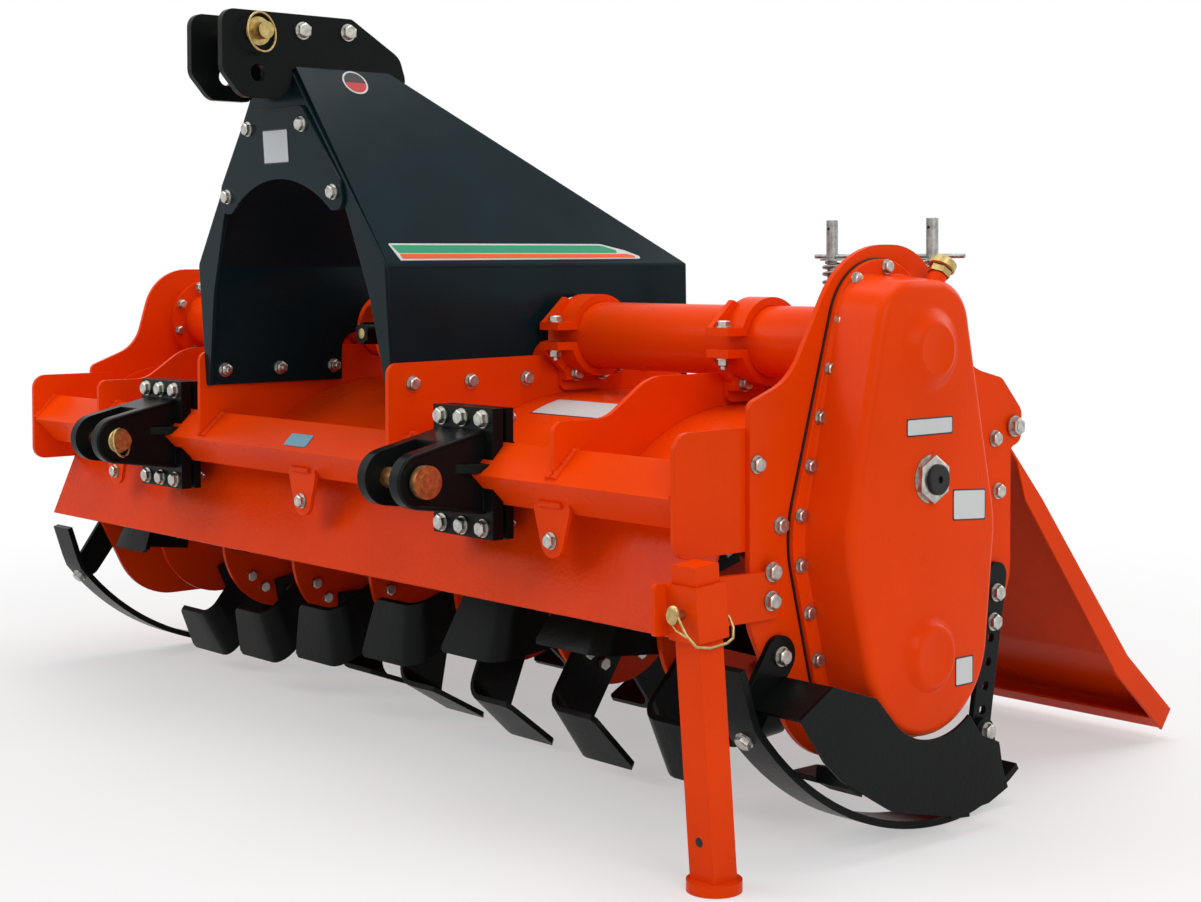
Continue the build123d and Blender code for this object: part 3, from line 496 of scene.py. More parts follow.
# the hood's label is bent round its front curve, between two turns from the top
hood_r, hood_mid = 305.0, np.array((-24, 247))
label_turns, label_x0, label_x1 = (11.2, 22.6), 312.0, 479.0
for label, inset, film, lift in (("edge", 0.0, dark_film, 0.3), ("field", 1.8, white_film, 0.5)):
    turn = np.radians(np.linspace(*label_turns, 12)) + np.linspace(1, -1, 12) * inset / hood_r
    skins = [
        hood_mid + radius * np.stack([-np.sin(way), np.cos(way)], -1)
        for radius, way in ((hood_r + lift, turn), (hood_r - 0.5, turn[::-1]))
    ]
    film_shell = slab(np.concatenate(skins), label_x0 + inset, label_x1 - inset)
    piece(f"hood_label_{label}", [film_shell], film)
beam_face = ((-18, -356, 472), out_x, (0, 1, 1))
beam_label = rounded([(0, 0, 3), (60, 0, 3), (60, 24, 3), (0, 24, 3)], 3)
sticker("beam_sticker", beam_face, beam_label, blue_film, 1.2)


# ---- Top hitch: plates, spacers and link pin ----
# Two flame-cut plates with spacer tubes between them, painted a thinner, duller
# black, and a yellow-zinc pin with its collar and the ring of its linch pin.
cast_black = enamel("black_casting_paint", (0.005, 0.006, 0.006), 0.3, 0.5, 160.0, 0.08, 0.015, 0.3)
yellow_zinc = plating("yellow_zinc", (0.50, 0.37, 0.15), 0.36)
paint(cast_black, "top_hitch_plates")
paint(yellow_zinc, "top_link_pin")
spacer_spots = [(-362, 1096), (-281, 1099)]
hitch_out, spacer_half, spacer_r = 50.0, 38.0, 15.0
spacer = spun([(spacer_r, -spacer_half, 0), (spacer_r, spacer_half, 0)], 28)
spacers = [stood(spacer, (0, y, z), out_x) for y, z in spacer_spots]
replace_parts(piece("hitch_spacers", spacers, cast_black), "top_hitch_spacers")
bolts("hitch_bolts", both([(hitch_out, y, z, out_x) for y, z in spacer_spots]), size=1.15)
top_pin = (-439.0, 1090.0)
collar = spun([(21, 0, 0), (21, 2.5, 0), (13, 2.6, 0)], 28)


def wire(path, radius, lay, around=8, ring=False):
    """Round wire: at each point of the path a circle of that radius, square to
    the path, one of whose axes is square to the lay as well."""
    path = np.asarray(path, float)
    if ring:
        ahead = np.roll(path, -1, 0) - np.roll(path, 1, 0)
    else:
        ahead = np.gradient(path, axis=0)
    ahead /= np.linalg.norm(ahead, axis=1, keepdims=True)
    side = np.cross(ahead, lay)
    side /= np.linalg.norm(side, axis=1, keepdims=True)
    up = np.cross(side, ahead)
    turn = np.linspace(0, 2 * np.pi, around, endpoint=False)[:, None]
    spokes = side[:, None] * np.cos(turn) + up[:, None] * np.sin(turn)
    return loft(path[:, None] + radius * spokes, ring)


def hoop(centre, radius, gauge, lay, drop=(0, 0, 0), around=40):
    """Ring of wire round a centre in the plane square to the lay, moved by its drop."""
    flat = np.insert(disc(radius, around=around), 2, 0, axis=1)
    shell = stood((flat, []), np.array(centre) + drop, lay)
    return wire(shell[0], gauge, lay, ring=True)


linch_ring = hoop((hitch_out + 11, *top_pin), 29, 1.7, (0.95, 0.25, 0.1), (0, 0, -2))
collar_and_ring = [stood(collar, (hitch_out, *top_pin), out_x), linch_ring]
piece("top_pin_collar", collar_and_ring, yellow_zinc)


# ---- Lower hitch: clevises, their clamps and pins ----
# Iron castings with raised rims round the ears, clamped on the beam by a
# vee plate and six bolts; yellow-zinc pins with a linch ring.
worn_yellow = plating("worn_yellow_zinc", (0.46, 0.23, 0.085), 0.42)
paint(cast_black, "lower_clevis_left", "lower_clevis_right", "clevis_clamp_plates")
paint(worn_yellow, "lower_link_pins")
clevis_x, ear_out, web_out = 412.5, 45.0, 66.0
pin_y, pin_z = -449.0, 462.0
beam_y, beam_z = -321.0, 465.0
clevis_front, clamp_rear = beam_y - 23, beam_y + 13
bolt_across, bolt_up = (-46, 0, 46), (-74, 74)
clevis_rows = [
    (side * clevis_x + dx, beam_z + dz)
    for side in (-1, 1) for dx in bolt_across for dz in bolt_up
]
bolts("clevis_bolts", [(x, clevis_front, z, to_front) for x, z in clevis_rows], size=1.1)
bolts("clevis_nuts", [(x, clamp_rear, z, (0, 1, 0)) for x, z in clevis_rows], nut, 1.1)


def wrapped(circles, grow=0.0, steps=96):
    """Belt wrapped round circles of (across, up, radius): in each direction it
    follows the circle that reaches furthest, at that radius plus the growth."""
    turn = np.linspace(0, 2 * np.pi, steps, endpoint=False)
    away = np.stack([np.cos(turn), np.sin(turn)], -1)
    circles = np.asarray(circles, float)
    reach = away @ circles[:, :2].T + circles[:, 2]
    best = circles[reach.argmax(1)]
    return best[:, :2] + away * (best[:, 2:] + grow)


ear_circles = [(pin_y, pin_z, 38), (-346, pin_z + 52, 10), (-346, pin_z - 44, 8)]
rim_path = np.insert(wrapped(ear_circles, -3.5, 72), 0, 0, axis=1)
rims = []
webs = []
for middle in (-clevis_x, clevis_x):
    for side in (-1, 1):
        rims.append(wire(rim_path + (middle + side * (ear_out - 0.5), 0, 0), 3.6, out_x, 8, True))
        near, far = middle + side * (ear_out - 1), middle + side * web_out
        web = np.array([(near, -392), (far, -352), (far, -343), (near, -343)])
        webs.append(loft([np.insert(web, 2, z, axis=1) for z in (pin_z + 6, pin_z + 18)]))
piece("clevis_rims", rims, cast_black, crease=60)
piece("clevis_webs", webs, cast_black)
ear_face = -clevis_x + ear_out
pin_washer = spun([(19, 0, 0), (20, 1.5, 0), (20, 5, 0), (17, 6.5, 0)], 28)
piece("lower_pin_rings", [
    hoop((ear_face + 12, pin_y, pin_z), 23, 1.9, (0.8, 0.5, 0.2), (0, 0, -3)),
    stood(pin_washer, (ear_face + 1, pin_y, pin_z), out_x),
], yellow_zinc)


# ---- Drive line: torque tubes in their clamps, gearbox and input shaft ----
# Round tubes clamped to the mast plates and ribs by cast half-shells; each
# clamp is drawn together by two bolts and stands on two more.
paint(orange, "torque_tubes", "tube_clamp_lowers", "tube_clamp_uppers", "gearbox")
paint(cast_black, "input_shaft")
clamp_starts, web_gauge = (272.0, 627.0), 9.0
lip_x, lip_rise = 21.0, 21.0        # lip bolts from a clamp's start and the tube's axis
foot_x, foot_bolt_z = 12.0, 582.0
lip_bolts = [(start + lip_x, y) for start in clamp_starts for y in (-75, 75)]
foot_bolts = [(start + foot_x, y) for start in clamp_starts for y in (-26, 26)]
bolts("clamp_bolts", both([(x, y, tube_z + lip_rise, (0, 0, 1)) for x, y in lip_bolts]))
bolts("clamp_nuts", both([(x, y, tube_z - lip_rise, (0, 0, -1)) for x, y in lip_bolts]), nut)
bolts("clamp_foot_bolts", both([(x, y, foot_bolt_z, out_x) for x, y in foot_bolts]))
# a web from lip to collar, as (y, z) from the tube's axis
web_half = np.array([(-87, 12), (-86, 20.5), (-44, 58), (-30, 52), (-48, 24), (-54, 12)])
clamp_webs = []
for start in clamp_starts:
    for dy in (-1, 1):
        for dz in (-1, 1):
            web = slab(web_half * (dy, dz) + (0, tube_z), start, start + web_gauge)
            clamp_webs += [web, flipped(web)]
piece("clamp_webs", clamp_webs, orange)
flange_turn = np.arange(8) * math.pi / 4 + 0.3
# rows of (name, x of the flange, radius of its ring of bolts, their way, size)
for name, x, radius, way, size in (
        ("tube_flange_bolts", 841, 66, (-1, 0, 0), 0.85),
        ("gearbox_flange_bolts", 108, 64, out_x, 0.7)):
    flange_spots = zip(radius * np.cos(flange_turn), tube_z + radius * np.sin(flange_turn))
    bolts(name, both([(x, y, z, way) for y, z in flange_spots]), size=size)
shaft_face_y = -223.0
centre_disc = spun([(8, -0.4, 0), (8, 0.6, 0), (5, 1.2, 0)], 24)
shaft_centre = stood(centre_disc, (0, shaft_face_y, tube_z), to_front)
piece("input_shaft_centre", [shaft_centre], yellow_zinc, "input_shaft")


# ---- Weld beads ----
# Where ribs, mast plates and tabs meet the beam: a rippled bead of weld metal,
# painted over with the frame.

def bead(start, end, radius=5.0, around=8):
    """Weld bead: a straight wire whose radius swells and shrinks along its run
    as the radius times one plus two small sines of the step's number."""
    start, end = np.array(start, float), np.array(end, float)
    count = max(6, int(np.linalg.norm(end - start) / 2.4))
    step = np.arange(count)
    path = start + np.linspace(0, 1, count)[:, None] * (end - start)
    points, faces = wire(path, 1.0, (0.3, 0.2, 0.9), around)
    middle = np.repeat(path, around, axis=0)
    swell = radius * (1 + 0.16 * np.sin(step * 2.1) + 0.07 * np.sin(step * 0.7))
    return middle + (points - middle) * np.repeat(swell, around)[:, None], faces


beam_half = 42.4            # half of the beam's diagonal, which stands upright
beads = []
rib_faces, end_face = (254, 266, 609, 621), half_width - 8
for x in rib_faces:
    crest = (x, beam_y, beam_z + beam_half)
    beads.append(bead((x, beam_y - beam_half + 6, beam_z + 6), crest))
    beads.append(bead(crest, (x, beam_y + 34, beam_z + 10)))
beads.append(bead((end_face, beam_y - beam_half + 2, beam_z + 2), (end_face, beam_y, beam_z + beam_half)))
beads += [flipped(shell) for shell in beads]
tab_half, tab_weld = 22, (tab_y - 1, beam_z - 30)
beads += [bead((x - tab_half, *tab_weld), (x + tab_half, *tab_weld)) for x in tab_xs]
piece("weld_beads", beads, orange, crease=60)


# ---- Gear case ----
# A pressed steel cover with a rounded edge and two dished bosses, bolted
# through its flange to the side plate over a bead of black sealant, whose black
# also stands for painted shade in the gap under the flange.
case_circles = [(-32, 665, 62), (24, 665, 62), (-5, 400, 147), (5, 260, 122)]
flange_circles = [(-8, 660, 70), (-5, 400, 147), (5, 260, 122)]
gasket_x, flange_x, face_x = 864.0, side_out + 10, 945.0
# levels are rows of (x, how far the belt round the circles is grown there)
flange_levels = [(gasket_x, 24), (flange_x - 1, 24), (flange_x, 23)]
case_levels = [(gasket_x + 1, 7.5), (flange_x + 0.3, 7.5), (flange_x + 3, 5.5)]
case_round = 14.0
turn = np.linspace(0, math.pi / 2, 7)
round_x = face_x - case_round + case_round * np.sin(turn)
case_levels += list(zip(round_x, case_round * (np.cos(turn) - 1)))
case = [
    loft([np.insert(wrapped(circles, grow), 0, x, axis=1) for x, grow in levels])
    for circles, levels in ((flange_circles, flange_levels), (case_circles, case_levels))
]
# bosses as (height of the centre, rows of radius and rise over the face)
boss_rows = (
    (638, [(57, -0.5), (54, 0.5), (50, 2.2), (39, 10.6), (36, 12.8), (32, 13.8), (24, 12.4), (1, 12.0)]),
    (rotor_z, [(53, -0.5), (50, 0.5), (47, 1.8), (41, 9.4), (38, 11.4), (34, 12.2), (28, 11.0), (1, 10.8)]),
)
for z, rows in boss_rows:
    case.append(stood(spun([(r, up, 0) for r, up in rows], 48), (face_x, 0, z), out_x))
neck_tilt = math.radians(35)
neck_foot, neck_up = (900, 33, 677), (0, math.sin(neck_tilt), math.cos(neck_tilt))
neck = spun([(12, 40, 0), (12, 67, 0), (11, 68, 0)], 24)
case.append(stood(neck, neck_foot, neck_up))
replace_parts(piece("gear_case_cover", case, orange, crease=24), "gear_case")
# matt black: the hub plug's own colour and the sealant's, and painted shade in the gap under the flange and
# in drilled holes
matt_black_and_painted_shade = enamel("matt_black_with_painted_shade", (0.006, 0.006, 0.006), 0.5, 0.6, 90.0, 0.3, 0.0, 0.3)
# the black strip under the flange is sealant and painted shade of the gap
sealant_and_gap_shade = slab(wrapped(flange_circles, 25.6), side_out - 0.2, gasket_x)
piece("case_sealant_and_gap_shade", [sealant_and_gap_shade], matt_black_and_painted_shade)


def spaced(outline, count, start=0.0):
    """Points at equal steps along a closed outline: across and up are read off
    against the run along it, at the count's even shares of the whole run."""
    line = np.vstack([outline, outline[:1]])
    run = np.insert(np.cumsum(np.linalg.norm(np.diff(line, axis=0), axis=1)), 0, 0)
    steps = (np.arange(count) / count + start) % 1 * run[-1]
    return np.stack([np.interp(steps, run, line[:, k]) for k in (0, 1)], -1)


flange_bolts = spaced(wrapped(flange_circles, 14.5), 24, 0.01)
bolts("gear_case_bolts", [(flange_x, y, z, out_x) for y, z in flange_bolts], size=0.85)
hub_place = (face_x, 0, rotor_z + 228)
hub = spun([(31, 0, 0), (31, 1.6, 0), (27, 1.8, 6), (27, 9.6, 6), (24.5, 11.4, 0)], 36)
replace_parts(piece("hub_hexagon", [stood(hub, hub_place, out_x)], zinc), "hub_nut")
plug = spun([(20, 11, 0), (20, 16, 0), (18.5, 17.8, 0), (5, 17.8, 0), (4.5, 13, 0)], 36)
piece("hub_plug", [stood(plug, hub_place, out_x)], matt_black_and_painted_shade)
cap_nut = spun([(11, 68, 0), (13.5, 68.2, 6), (13.5, 77, 6), (11, 78, 0)], 24)
cap_top = spun([(16, 78, 0), (18, 79.5, 0), (18, 89, 0), (15.5, 91.5, 0), (6, 92, 0)], 24)
cap = [stood(shell, neck_foot, neck_up) for shell in (cap_nut, cap_top)]
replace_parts(piece("breather_cap", cap, yellow_zinc), "breather")
for name, y, z, side, width, height in (
        ("case_plate", -46, 528, (0, 1, 0), 92, 23),
        ("level_plate", 47, 414, (0, 1, -0.06), 68, 41),
        ("small_plate", 53, 196, (0, 1, 0), 37, 38)):
    framed(name, ((face_x, y, z), side, (0, 0, 1)), width, height)


# ---- Rotor: blades bolted on the flanges ----
# Forged spring-steel L blades, three on each side of a flange, dipped in black;
# each shank has two bolts, and the foot's rear edge lies nearer the axis.
paint(orange, "rotor_shaft", "rotor_bearing_cap")
# the foot's front edge is set by its reach from the axis and its lead on the
# shank's middle; the leg is the foot's length, and the skew its cut-back end
blade_reach, blade_lead, blade_width = 240.0, 48.0, 88.0
blade_leg, blade_skew, blade_gauge, blade_bend = 136.0, 32.0, 8.0, 30.0
blade_root, foot_tilt = 72.0, math.radians(21)
edge_reach = math.sqrt(blade_reach ** 2 - blade_lead ** 2)
foot_rise = edge_reach * math.cos(foot_tilt) - blade_lead * math.sin(foot_tilt)


def blade_side(depth):
    """(along the rotor, rise) of a blade's path at a depth in its steel: up the
    shank, round the bend and out along the foot."""
    turn = np.linspace(0, math.pi / 2, 6)
    radius = blade_bend - depth
    x = blade_bend - radius * np.cos(turn)
    rise = foot_rise - blade_bend + radius * np.sin(turn)
    ends = blade_leg * np.array((0.55, 0.94, 1.0))
    return np.concatenate([[depth, depth], x, ends]), np.concatenate([
        [-1.0, blade_root + 60], rise, np.full(3, foot_rise - depth)])


def blade_ring(y, depth):
    """Edge of a blade: its rise falls behind the leading edge by the foot's tilt,
    the root is level and the foot's end is cut back towards the rear edge."""
    x, rise = blade_side(depth)
    back = (y + blade_lead) / blade_width
    z = rise / math.cos(foot_tilt) - y * math.tan(foot_tilt)
    z = np.where(rise < 0, blade_root, z)
    cut = blade_skew * back * np.clip((x - blade_bend) / (blade_leg - blade_bend), 0, 1)
    return np.stack([x - cut, y, z], -1)


foot_corner = 7.0
narrow = np.append(np.zeros(10), foot_corner)
blade_back = blade_width - blade_lead
blade = loft(np.stack([
    blade_ring(narrow - blade_lead, 0), blade_ring(blade_back - narrow, 0),
    blade_ring(blade_back - narrow, blade_gauge), blade_ring(narrow - blade_lead, blade_gauge),
], 1))


def turned_x(points, degrees):
    """Points turned about X by the usual rotation matrix."""
    a = math.radians(degrees)
    rows = [[1, 0, 0], [0, math.cos(a), math.sin(a)], [0, -math.sin(a), math.cos(a)]]
    return points @ np.array(rows)


flange_count, flange_pitch, flange_half = 8, 230.0, 4.0
blades_a_side, bolt_reach = 3, 98.0
# degrees: the first blade, the step from flange to flange, the left hand behind the right
first_turn, blade_step, hand_lag = 203.0, 11.3, 50.5
heads = spun([(8.6, 0, 6), (8.6, 6.5, 6), (7.4, 7.6, 0)], 12)
shells = {-1: [], 1: []}
blade_bolts = []
for i in range(flange_count):
    for k in range(blades_a_side):
        for hand in (1, -1):
            if not 0 <= i + hand < flange_count:
                continue
            turn = first_turn - blade_step * i + 360 / blades_a_side * k - hand_lag * (hand < 0)
            middle = (i - (flange_count - 1) / 2) * flange_pitch
            root = np.array((middle + hand * (flange_half + 0.1), 0, rotor_z))
            shells[hand].append((turned_x(blade[0] * (hand, 1, 1), turn) + root, blade[1]))
            for y in (-20, 16):
                for x, way in ((blade_gauge, 1), (-2 * flange_half - 0.1, -1)):
                    spot = turned_x(np.array([(hand * x, y, bolt_reach)]), turn)[0] + root
                    blade_bolts.append(stood(heads, spot, (hand * way, 0, 0)))
for hand, name in ((1, "rotor_blades_right_hand"), (-1, "rotor_blades_left_hand")):
    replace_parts(piece(f"{name}_forged", shells[hand], cast_black, "rotor"), name)
piece("blade_bolts", blade_bolts, zinc, "rotor")


# ---- Skids, their straps and brackets, and the guard ----
# Runners rolled from flat bar under each side plate, hung from a front arm and
# a strap with a row of depth holes; a cut plate guards the gear case's foot.
paint(cast_black, "skid_brackets", "skid_straps")
runner_in, runner_width, runner_gauge = 842.0, 58.0, 10.0
runner_y, front_r, rear_r = 95.0, 470.0, 284.0      # lowest place, radii before and behind
front_end, rear_end = -275.0, 251.0


def arc_z(y, radius):
    """Height of a runner's sole: radius less the root of radius squared less distance squared."""
    return radius - np.sqrt(radius ** 2 - (y - runner_y) ** 2)


sole_front = np.linspace(front_end, runner_y, 22)
sole_rear = np.linspace(runner_y, rear_end, 9)[1:]
toe_z = arc_z(front_end, front_r)
sole = np.concatenate([
    [(-301, toe_z + 76), (-283, toe_z + 20)],
    np.stack([sole_front, arc_z(sole_front, front_r)], -1),
    np.stack([sole_rear, arc_z(sole_rear, rear_r)], -1),
])
ahead = np.gradient(sole, axis=0)
ahead /= np.linalg.norm(ahead, axis=1, keepdims=True)
upper = sole + ahead[:, ::-1] * (-1, 1) * runner_gauge
runner_out = runner_in + runner_width
runner_edges = ((sole, runner_in), (sole, runner_out), (upper, runner_out), (upper, runner_in))
runner = loft(np.stack([np.insert(line, 0, x, axis=1) for line, x in runner_edges], 1))
lug_in, lug_gauge = 869.3, 8.0
lug = slab(wrapped([(205, 100, 20), (191, 32, 10), (227, 40, 9)], steps=48), lug_in, lug_in + lug_gauge)
skid = [runner, lug]
for name, node, parts in (
        ("skid_runner_right", "skid_right", skid),
        ("skid_runner_left", "skid_left", [flipped(part) for part in skid])):
    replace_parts(piece(name, parts, cast_black), node)
sole_bolt_y = -262.0
sole_bolt = (runner_in + runner_width / 2, sole_bolt_y, arc_z(sole_bolt_y, front_r))
away = np.array((0, sole_bolt_y - runner_y, sole_bolt[2] - front_r))
strap_spots = ((-196, 258), (239, 290), (232, 250))
skid_bolts = [(lug_in, y, z, out_x) for y, z in strap_spots]
skid_bolts.append((lug_in + lug_gauge, 208, 102, out_x))
skid_bolts.append((*sole_bolt, away / np.linalg.norm(away)))
bolts("skid_bolts", both(skid_bolts), size=1.1)

# The guard's edge runs round the foot of the gear case, then down to the runner.
guard_x, guard_gauge = 949.0, 4.0
guard_out = guard_x + guard_gauge
guard_front, guard_top = (-251, rotor_z - 44), (-192, rotor_z - 12)
guard_heel, guard_rear = (144, 77), (137, rotor_z - 132)
scoop = wrapped(case_circles, 1.0)
scoop = scoop[(scoop[:, 1] < rotor_z - 74) & (abs(scoop[:, 0]) < 75)]
scoop = scoop[np.argsort(scoop[:, 0])]
guard_rows = [
    (99, rotor_z - 117, 14),
    (*guard_rear, 10),
    (*guard_heel, 0),
    (156, 48, 0),
    (115, 34, 0),
    (36, 30, 60),
    (-81, 58, 60),
    (-176, 113, 0),
    (-207, 141, 0),
    (*guard_front, 0),
    (*guard_top, 0),
    (-112, rotor_z - 38, 12),
]
guard = [slab(np.concatenate([rounded(guard_rows), scoop]), guard_x, guard_out)]
# its two turned-in flanges, then the tabs welded between it and the runner
tab_in = 896.0
for low_end, high_end, start, side in (
        (guard_front, guard_top, lug_in, 1), (guard_heel, guard_rear, tab_in - 1, -1)):
    low_end, high_end = np.array(low_end), np.array(high_end)
    step = (high_end - low_end) / np.linalg.norm(high_end - low_end) * guard_gauge
    inward = np.array((step[1], -step[0])) * side
    flange = [low_end, high_end, high_end + inward, low_end + inward]
    guard.append(slab(flange, start, guard_out - 0.5))
front_tab = [(-162, 100), (-136, 86), (-134, 106), (-160, 121)]
rear_tab = [(40, 26), (78, 22), (78, 32), (40, 36)]
guard += [slab(tab, tab_in, guard_x + 1) for tab in (front_tab, rear_tab)]
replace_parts(piece("case_guard", guard, cast_black), "gear_guard")


# ---- Parking stand ----
# Square tube in a welded sleeve, held by a latch pin with a sprung wire
# keeper that passes under the sleeve.
paint(orange, "stand_leg", "stand_sleeve")
paint(yellow_zinc, "stand_pin")
bolts("stand_bracket_bolts", [(lug_in, -213, 366, out_x), (lug_in, -215, 330, out_x)], size=1.1)
stand_x, stand_y, stand_z = 894.4, -367.0, 339.0
# the keeper starts at the pin's head, goes down past the sleeve's corner, back
# under it and up again; a second strand doubles its start
keeper = np.array([
    (stand_x - 4, -405, 346), (stand_x + 8, -406, 336), (stand_x + 20, -404, 316),
    (922, -396, 303), (922, -374, 299), (922, -346, 301), (922, -335, 306),
    (920, -333, 318), (914, -334, 330), (902, -336, 338),
])
strand = np.array([
    (stand_x - 4, -405, 346), (stand_x - 9, -406, 332), (stand_x + 4, -405, 320),
    (stand_x + 21, -404, 314),
])
keeper_lay = (0.2, 0.1, 0.97)
pin_head = stood(spun([(8.5, 0, 0), (8.5, 4, 0), (7, 5, 0)], 20), (stand_x, -405, 341), to_front)
keeper_shells = [wire(keeper, 1.9, keeper_lay), wire(strand, 1.6, keeper_lay), pin_head]
piece("stand_keeper", keeper_shells, yellow_zinc, crease=60)
leg_lean, leg_half = math.radians(4.7), 20.1
hole_z = 62.0
hole_y = stand_y + math.tan(leg_lean) * (stand_z - hole_z) - leg_half / math.cos(leg_lean)
off_leg = (0, -math.cos(leg_lean), -math.sin(leg_lean))
# a matt black disc on the leg is painted shade in its depth hole
leg_hole_shade = stood(spun([(6, -0.4, 0), (6, 0.2, 0)], 20), (stand_x, hole_y, hole_z), off_leg)
piece("stand_leg_hole_shade", [leg_hole_shade], matt_black_and_painted_shade, "stand_leg")


# ---- Trailing board and its spring rods ----
# The enamelled board hangs on a zinc rod, held down by galvanised rods through
# swivels on the hood, each with a compressed coil spring and a cross pin.
dull_zinc = plating("galvanised_steel", (0.34, 0.36, 0.34), 0.46)
paint(orange, "trailing_board", "rod_brackets")
paint(zinc, "board_hinge_rod", "rod_swivels")
paint(dull_zinc, "spring_rods")
rod_xs = (-583.0, -375.0, 375.0, 583.0)
rod_y, spring_low, spring_high = hinge_y + 167, 673.0, 749.0
coil_r, coil_gauge, coil_turns = 14.0, 2.6, 6.5
t = np.linspace(0, 1, 110)
# the climb lags by a small sine, so that the end turns lie closer together
climb = spring_low + (spring_high - spring_low) * (t - 0.045 * np.sin(2 * np.pi * t))
turn = 2 * np.pi * coil_turns * t
coil = np.stack([coil_r * np.cos(turn), rod_y + coil_r * np.sin(turn), climb], -1)
coils = [wire(coil + (x, 0, 0), coil_gauge, (0, 0, 1)) for x in rod_xs]
springs = piece("rod_coil_springs", coils, dull_zinc, "rod_swivels", 60)
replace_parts(springs, "rod_springs")
rod_head_r, rod_head_z, rod_top, cross_z = 9.6, 757.5, 818.0, 759.0
cross_pin = spun([(3.4, 0, 0), (3.6, 1, 0), (3.6, 98, 0), (3.2, 99, 0)], 14)
rod_head = spun([(rod_head_r, 0, 0), (rod_head_r, 60.2, 0), (9.0, 61, 0)], 28)
pins = [stood(cross_pin, (x - 36, rod_y, cross_z), out_x) for x in rod_xs]
pins += [stood(rod_head, (x, rod_y, rod_head_z), (0, 0, 1)) for x in rod_xs]
piece("rod_cross_pins", pins, dull_zinc, "spring_rods")
# matt black discs at the rods' tops and sides are painted shade in their drilled holes
end_bore_shade = spun([(5.6, -0.3, 0), (5.6, 0.25, 0)], 20)
side_bore_shade = spun([(2.6, -0.3, 0), (2.6, 0.25, 0)], 14)
bore_shades = [stood(end_bore_shade, (x, rod_y, rod_top + 0.5), (0, 0, 1)) for x in rod_xs]
bore_shades += [stood(side_bore_shade, (x, rod_y - rod_head_r, rod_top - 14), to_front) for x in rod_xs]
piece("rod_bore_painted_shade", bore_shades, matt_black_and_painted_shade, "spring_rods")
rod_nut = spun([(15, 0, 0), (15, 2, 0), (11, 2.1, 6), (11, 10, 6), (9, 11, 0)])
bolts("hinge_rod_nuts", both([(side_out + 4, hinge_y, hinge_z, out_x)]), rod_nut)


# ---- Studio ----
# A pale matt floor under four soft boxes and a white world, and the camera at
# the front corner on the gear-drive side.
floor_mesh = bpy.data.meshes.new("floor")
reach = 30.0
floor_mesh.from_pydata(
    [(-reach, -reach, 0), (reach, -reach, 0), (reach, reach, 0), (-reach, reach, 0)], [], [(0, 1, 2, 3)]
)
floor = bpy.data.objects.new("floor", floor_mesh)
floor.location.z = -0.0005
bpy.context.collection.objects.link(floor)
floor_paint = bpy.data.materials.new("floor_paint")
floor_paint.use_nodes = True
tree = floor_paint.node_tree
matt = tree.nodes["Principled BSDF"]
matt.inputs["Base Color"].default_value = (0.86, 0.86, 0.86, 1)
matt.inputs["Roughness"].default_value = 0.9
matt.inputs["Specular IOR Level"].default_value = 0.1
glow = tree.nodes.new("ShaderNodeEmission")


def plain_rays(tree):
    """1 for a ray that should meet plain white, as the most of the kinds' marks."""
    ray = tree.nodes.new("ShaderNodeLightPath")
    found = ray.outputs["Is Camera Ray"]
    for kind in ("Is Glossy Ray", "Is Transmission Ray"):
        either = tree.nodes.new("ShaderNodeMath")
        either.operation = "MAXIMUM"
        tree.links.new(found, either.inputs[0])
        tree.links.new(ray.outputs[kind], either.inputs[1])
        found = either.outputs[0]
    return found


# the floor's own shade near the machine gives way to plain white further out
place = tree.nodes.new("ShaderNodeTexCoord")
distance = tree.nodes.new("ShaderNodeVectorMath")
distance.operation = "LENGTH"
tree.links.new(place.outputs["Object"], distance.inputs[0])
fade = tree.nodes.new("ShaderNodeMapRange")
fade.interpolation_type = "SMOOTHSTEP"
fade.inputs["From Min"].default_value = 0.9
fade.inputs["From Max"].default_value = 2.6
fade.inputs["To Min"].default_value = 0.45
fade.inputs["To Max"].default_value = 1.0
tree.links.new(distance.outputs["Value"], fade.inputs["Value"])
share = tree.nodes.new("ShaderNodeMath")
share.operation = "MULTIPLY"
tree.links.new(fade.outputs["Result"], share.inputs[0])
tree.links.new(plain_rays(tree), share.inputs[1])
blend = tree.nodes.new("ShaderNodeMixShader")
tree.links.new(share.outputs[0], blend.inputs["Fac"])
tree.links.new(matt.outputs[0], blend.inputs[1])
tree.links.new(glow.outputs[0], blend.inputs[2])
tree.links.new(blend.outputs[0], tree.nodes["Material Output"].inputs["Surface"])
floor_mesh.materials.append(floor_paint)

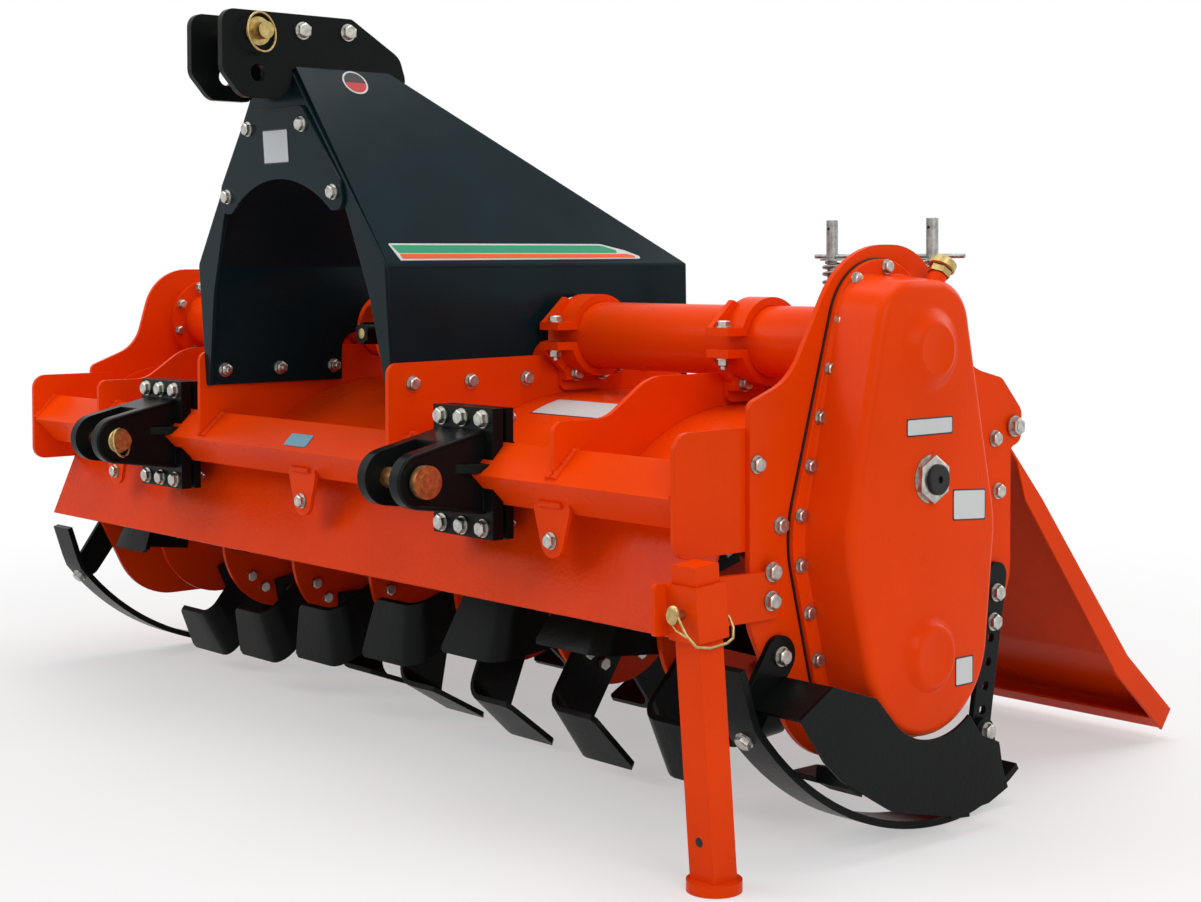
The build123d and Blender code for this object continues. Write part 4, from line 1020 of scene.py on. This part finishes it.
world = bpy.data.worlds.new("studio")
bpy.context.scene.world = world
world.use_nodes = True
tree = world.node_tree
fill = tree.nodes["Background"]
fill.inputs["Color"].default_value = (1, 1, 1, 1)
fill.inputs["Strength"].default_value = 0.30
white = tree.nodes.new("ShaderNodeBackground")
white.inputs["Color"].default_value = (1, 1, 1, 1)
white.inputs["Strength"].default_value = 1.0
blend = tree.nodes.new("ShaderNodeMixShader")
tree.links.new(plain_rays(tree), blend.inputs["Fac"])
tree.links.new(fill.outputs[0], blend.inputs[1])
tree.links.new(white.outputs[0], blend.inputs[2])
tree.links.new(blend.outputs[0], tree.nodes["World Output"].inputs["Surface"])

# rows of (name, place in metres, side in metres, watts)
soft_boxes = [
    ("front_left_box", (-2.6, -4.2, 3.6), 3.2, 110.0),
    ("front_right_box", (4.6, -1.6, 2.8), 2.4, 72.0),
    ("top_box", (0.2, 0.2, 4.6), 3.6, 110.0),
    ("rear_box", (1.5, 4.4, 2.8), 3.0, 55.0),
]
aim = np.array((0.0, 0.0, 0.5))
for name, place, side, watts in soft_boxes:
    lamp = bpy.data.lights.new(name, "AREA")
    lamp.shape = "SQUARE"
    lamp.size = side
    lamp.energy = watts
    holder = bpy.data.objects.new(name, lamp)
    holder.location = place
    away = np.array(place) - aim
    yaw = math.atan2(away[0], -away[1])
    tip = math.acos(away[2] / np.linalg.norm(away))
    holder.rotation_euler = (tip, 0, yaw)
    bpy.context.collection.objects.link(holder)

camera_data = bpy.data.cameras.new("camera")
camera_data.sensor_width = 36.0
camera_data.lens = 59.78
camera_data.shift_x = 0.0099
camera_data.shift_y = -0.1099
camera = bpy.data.objects.new("camera", camera_data)
camera.location = (2.5471, -2.1278, 0.7511)
camera_down, camera_roll, camera_heading = 1.6436, 0.1154, 48.6825      # degrees
camera_turns = (90 - camera_down, camera_roll, camera_heading)
camera.rotation_euler = [math.radians(turn) for turn in camera_turns]
bpy.context.collection.objects.link(camera)
bpy.context.scene.camera = camera
bpy.context.scene.view_settings.view_transform = "Standard"
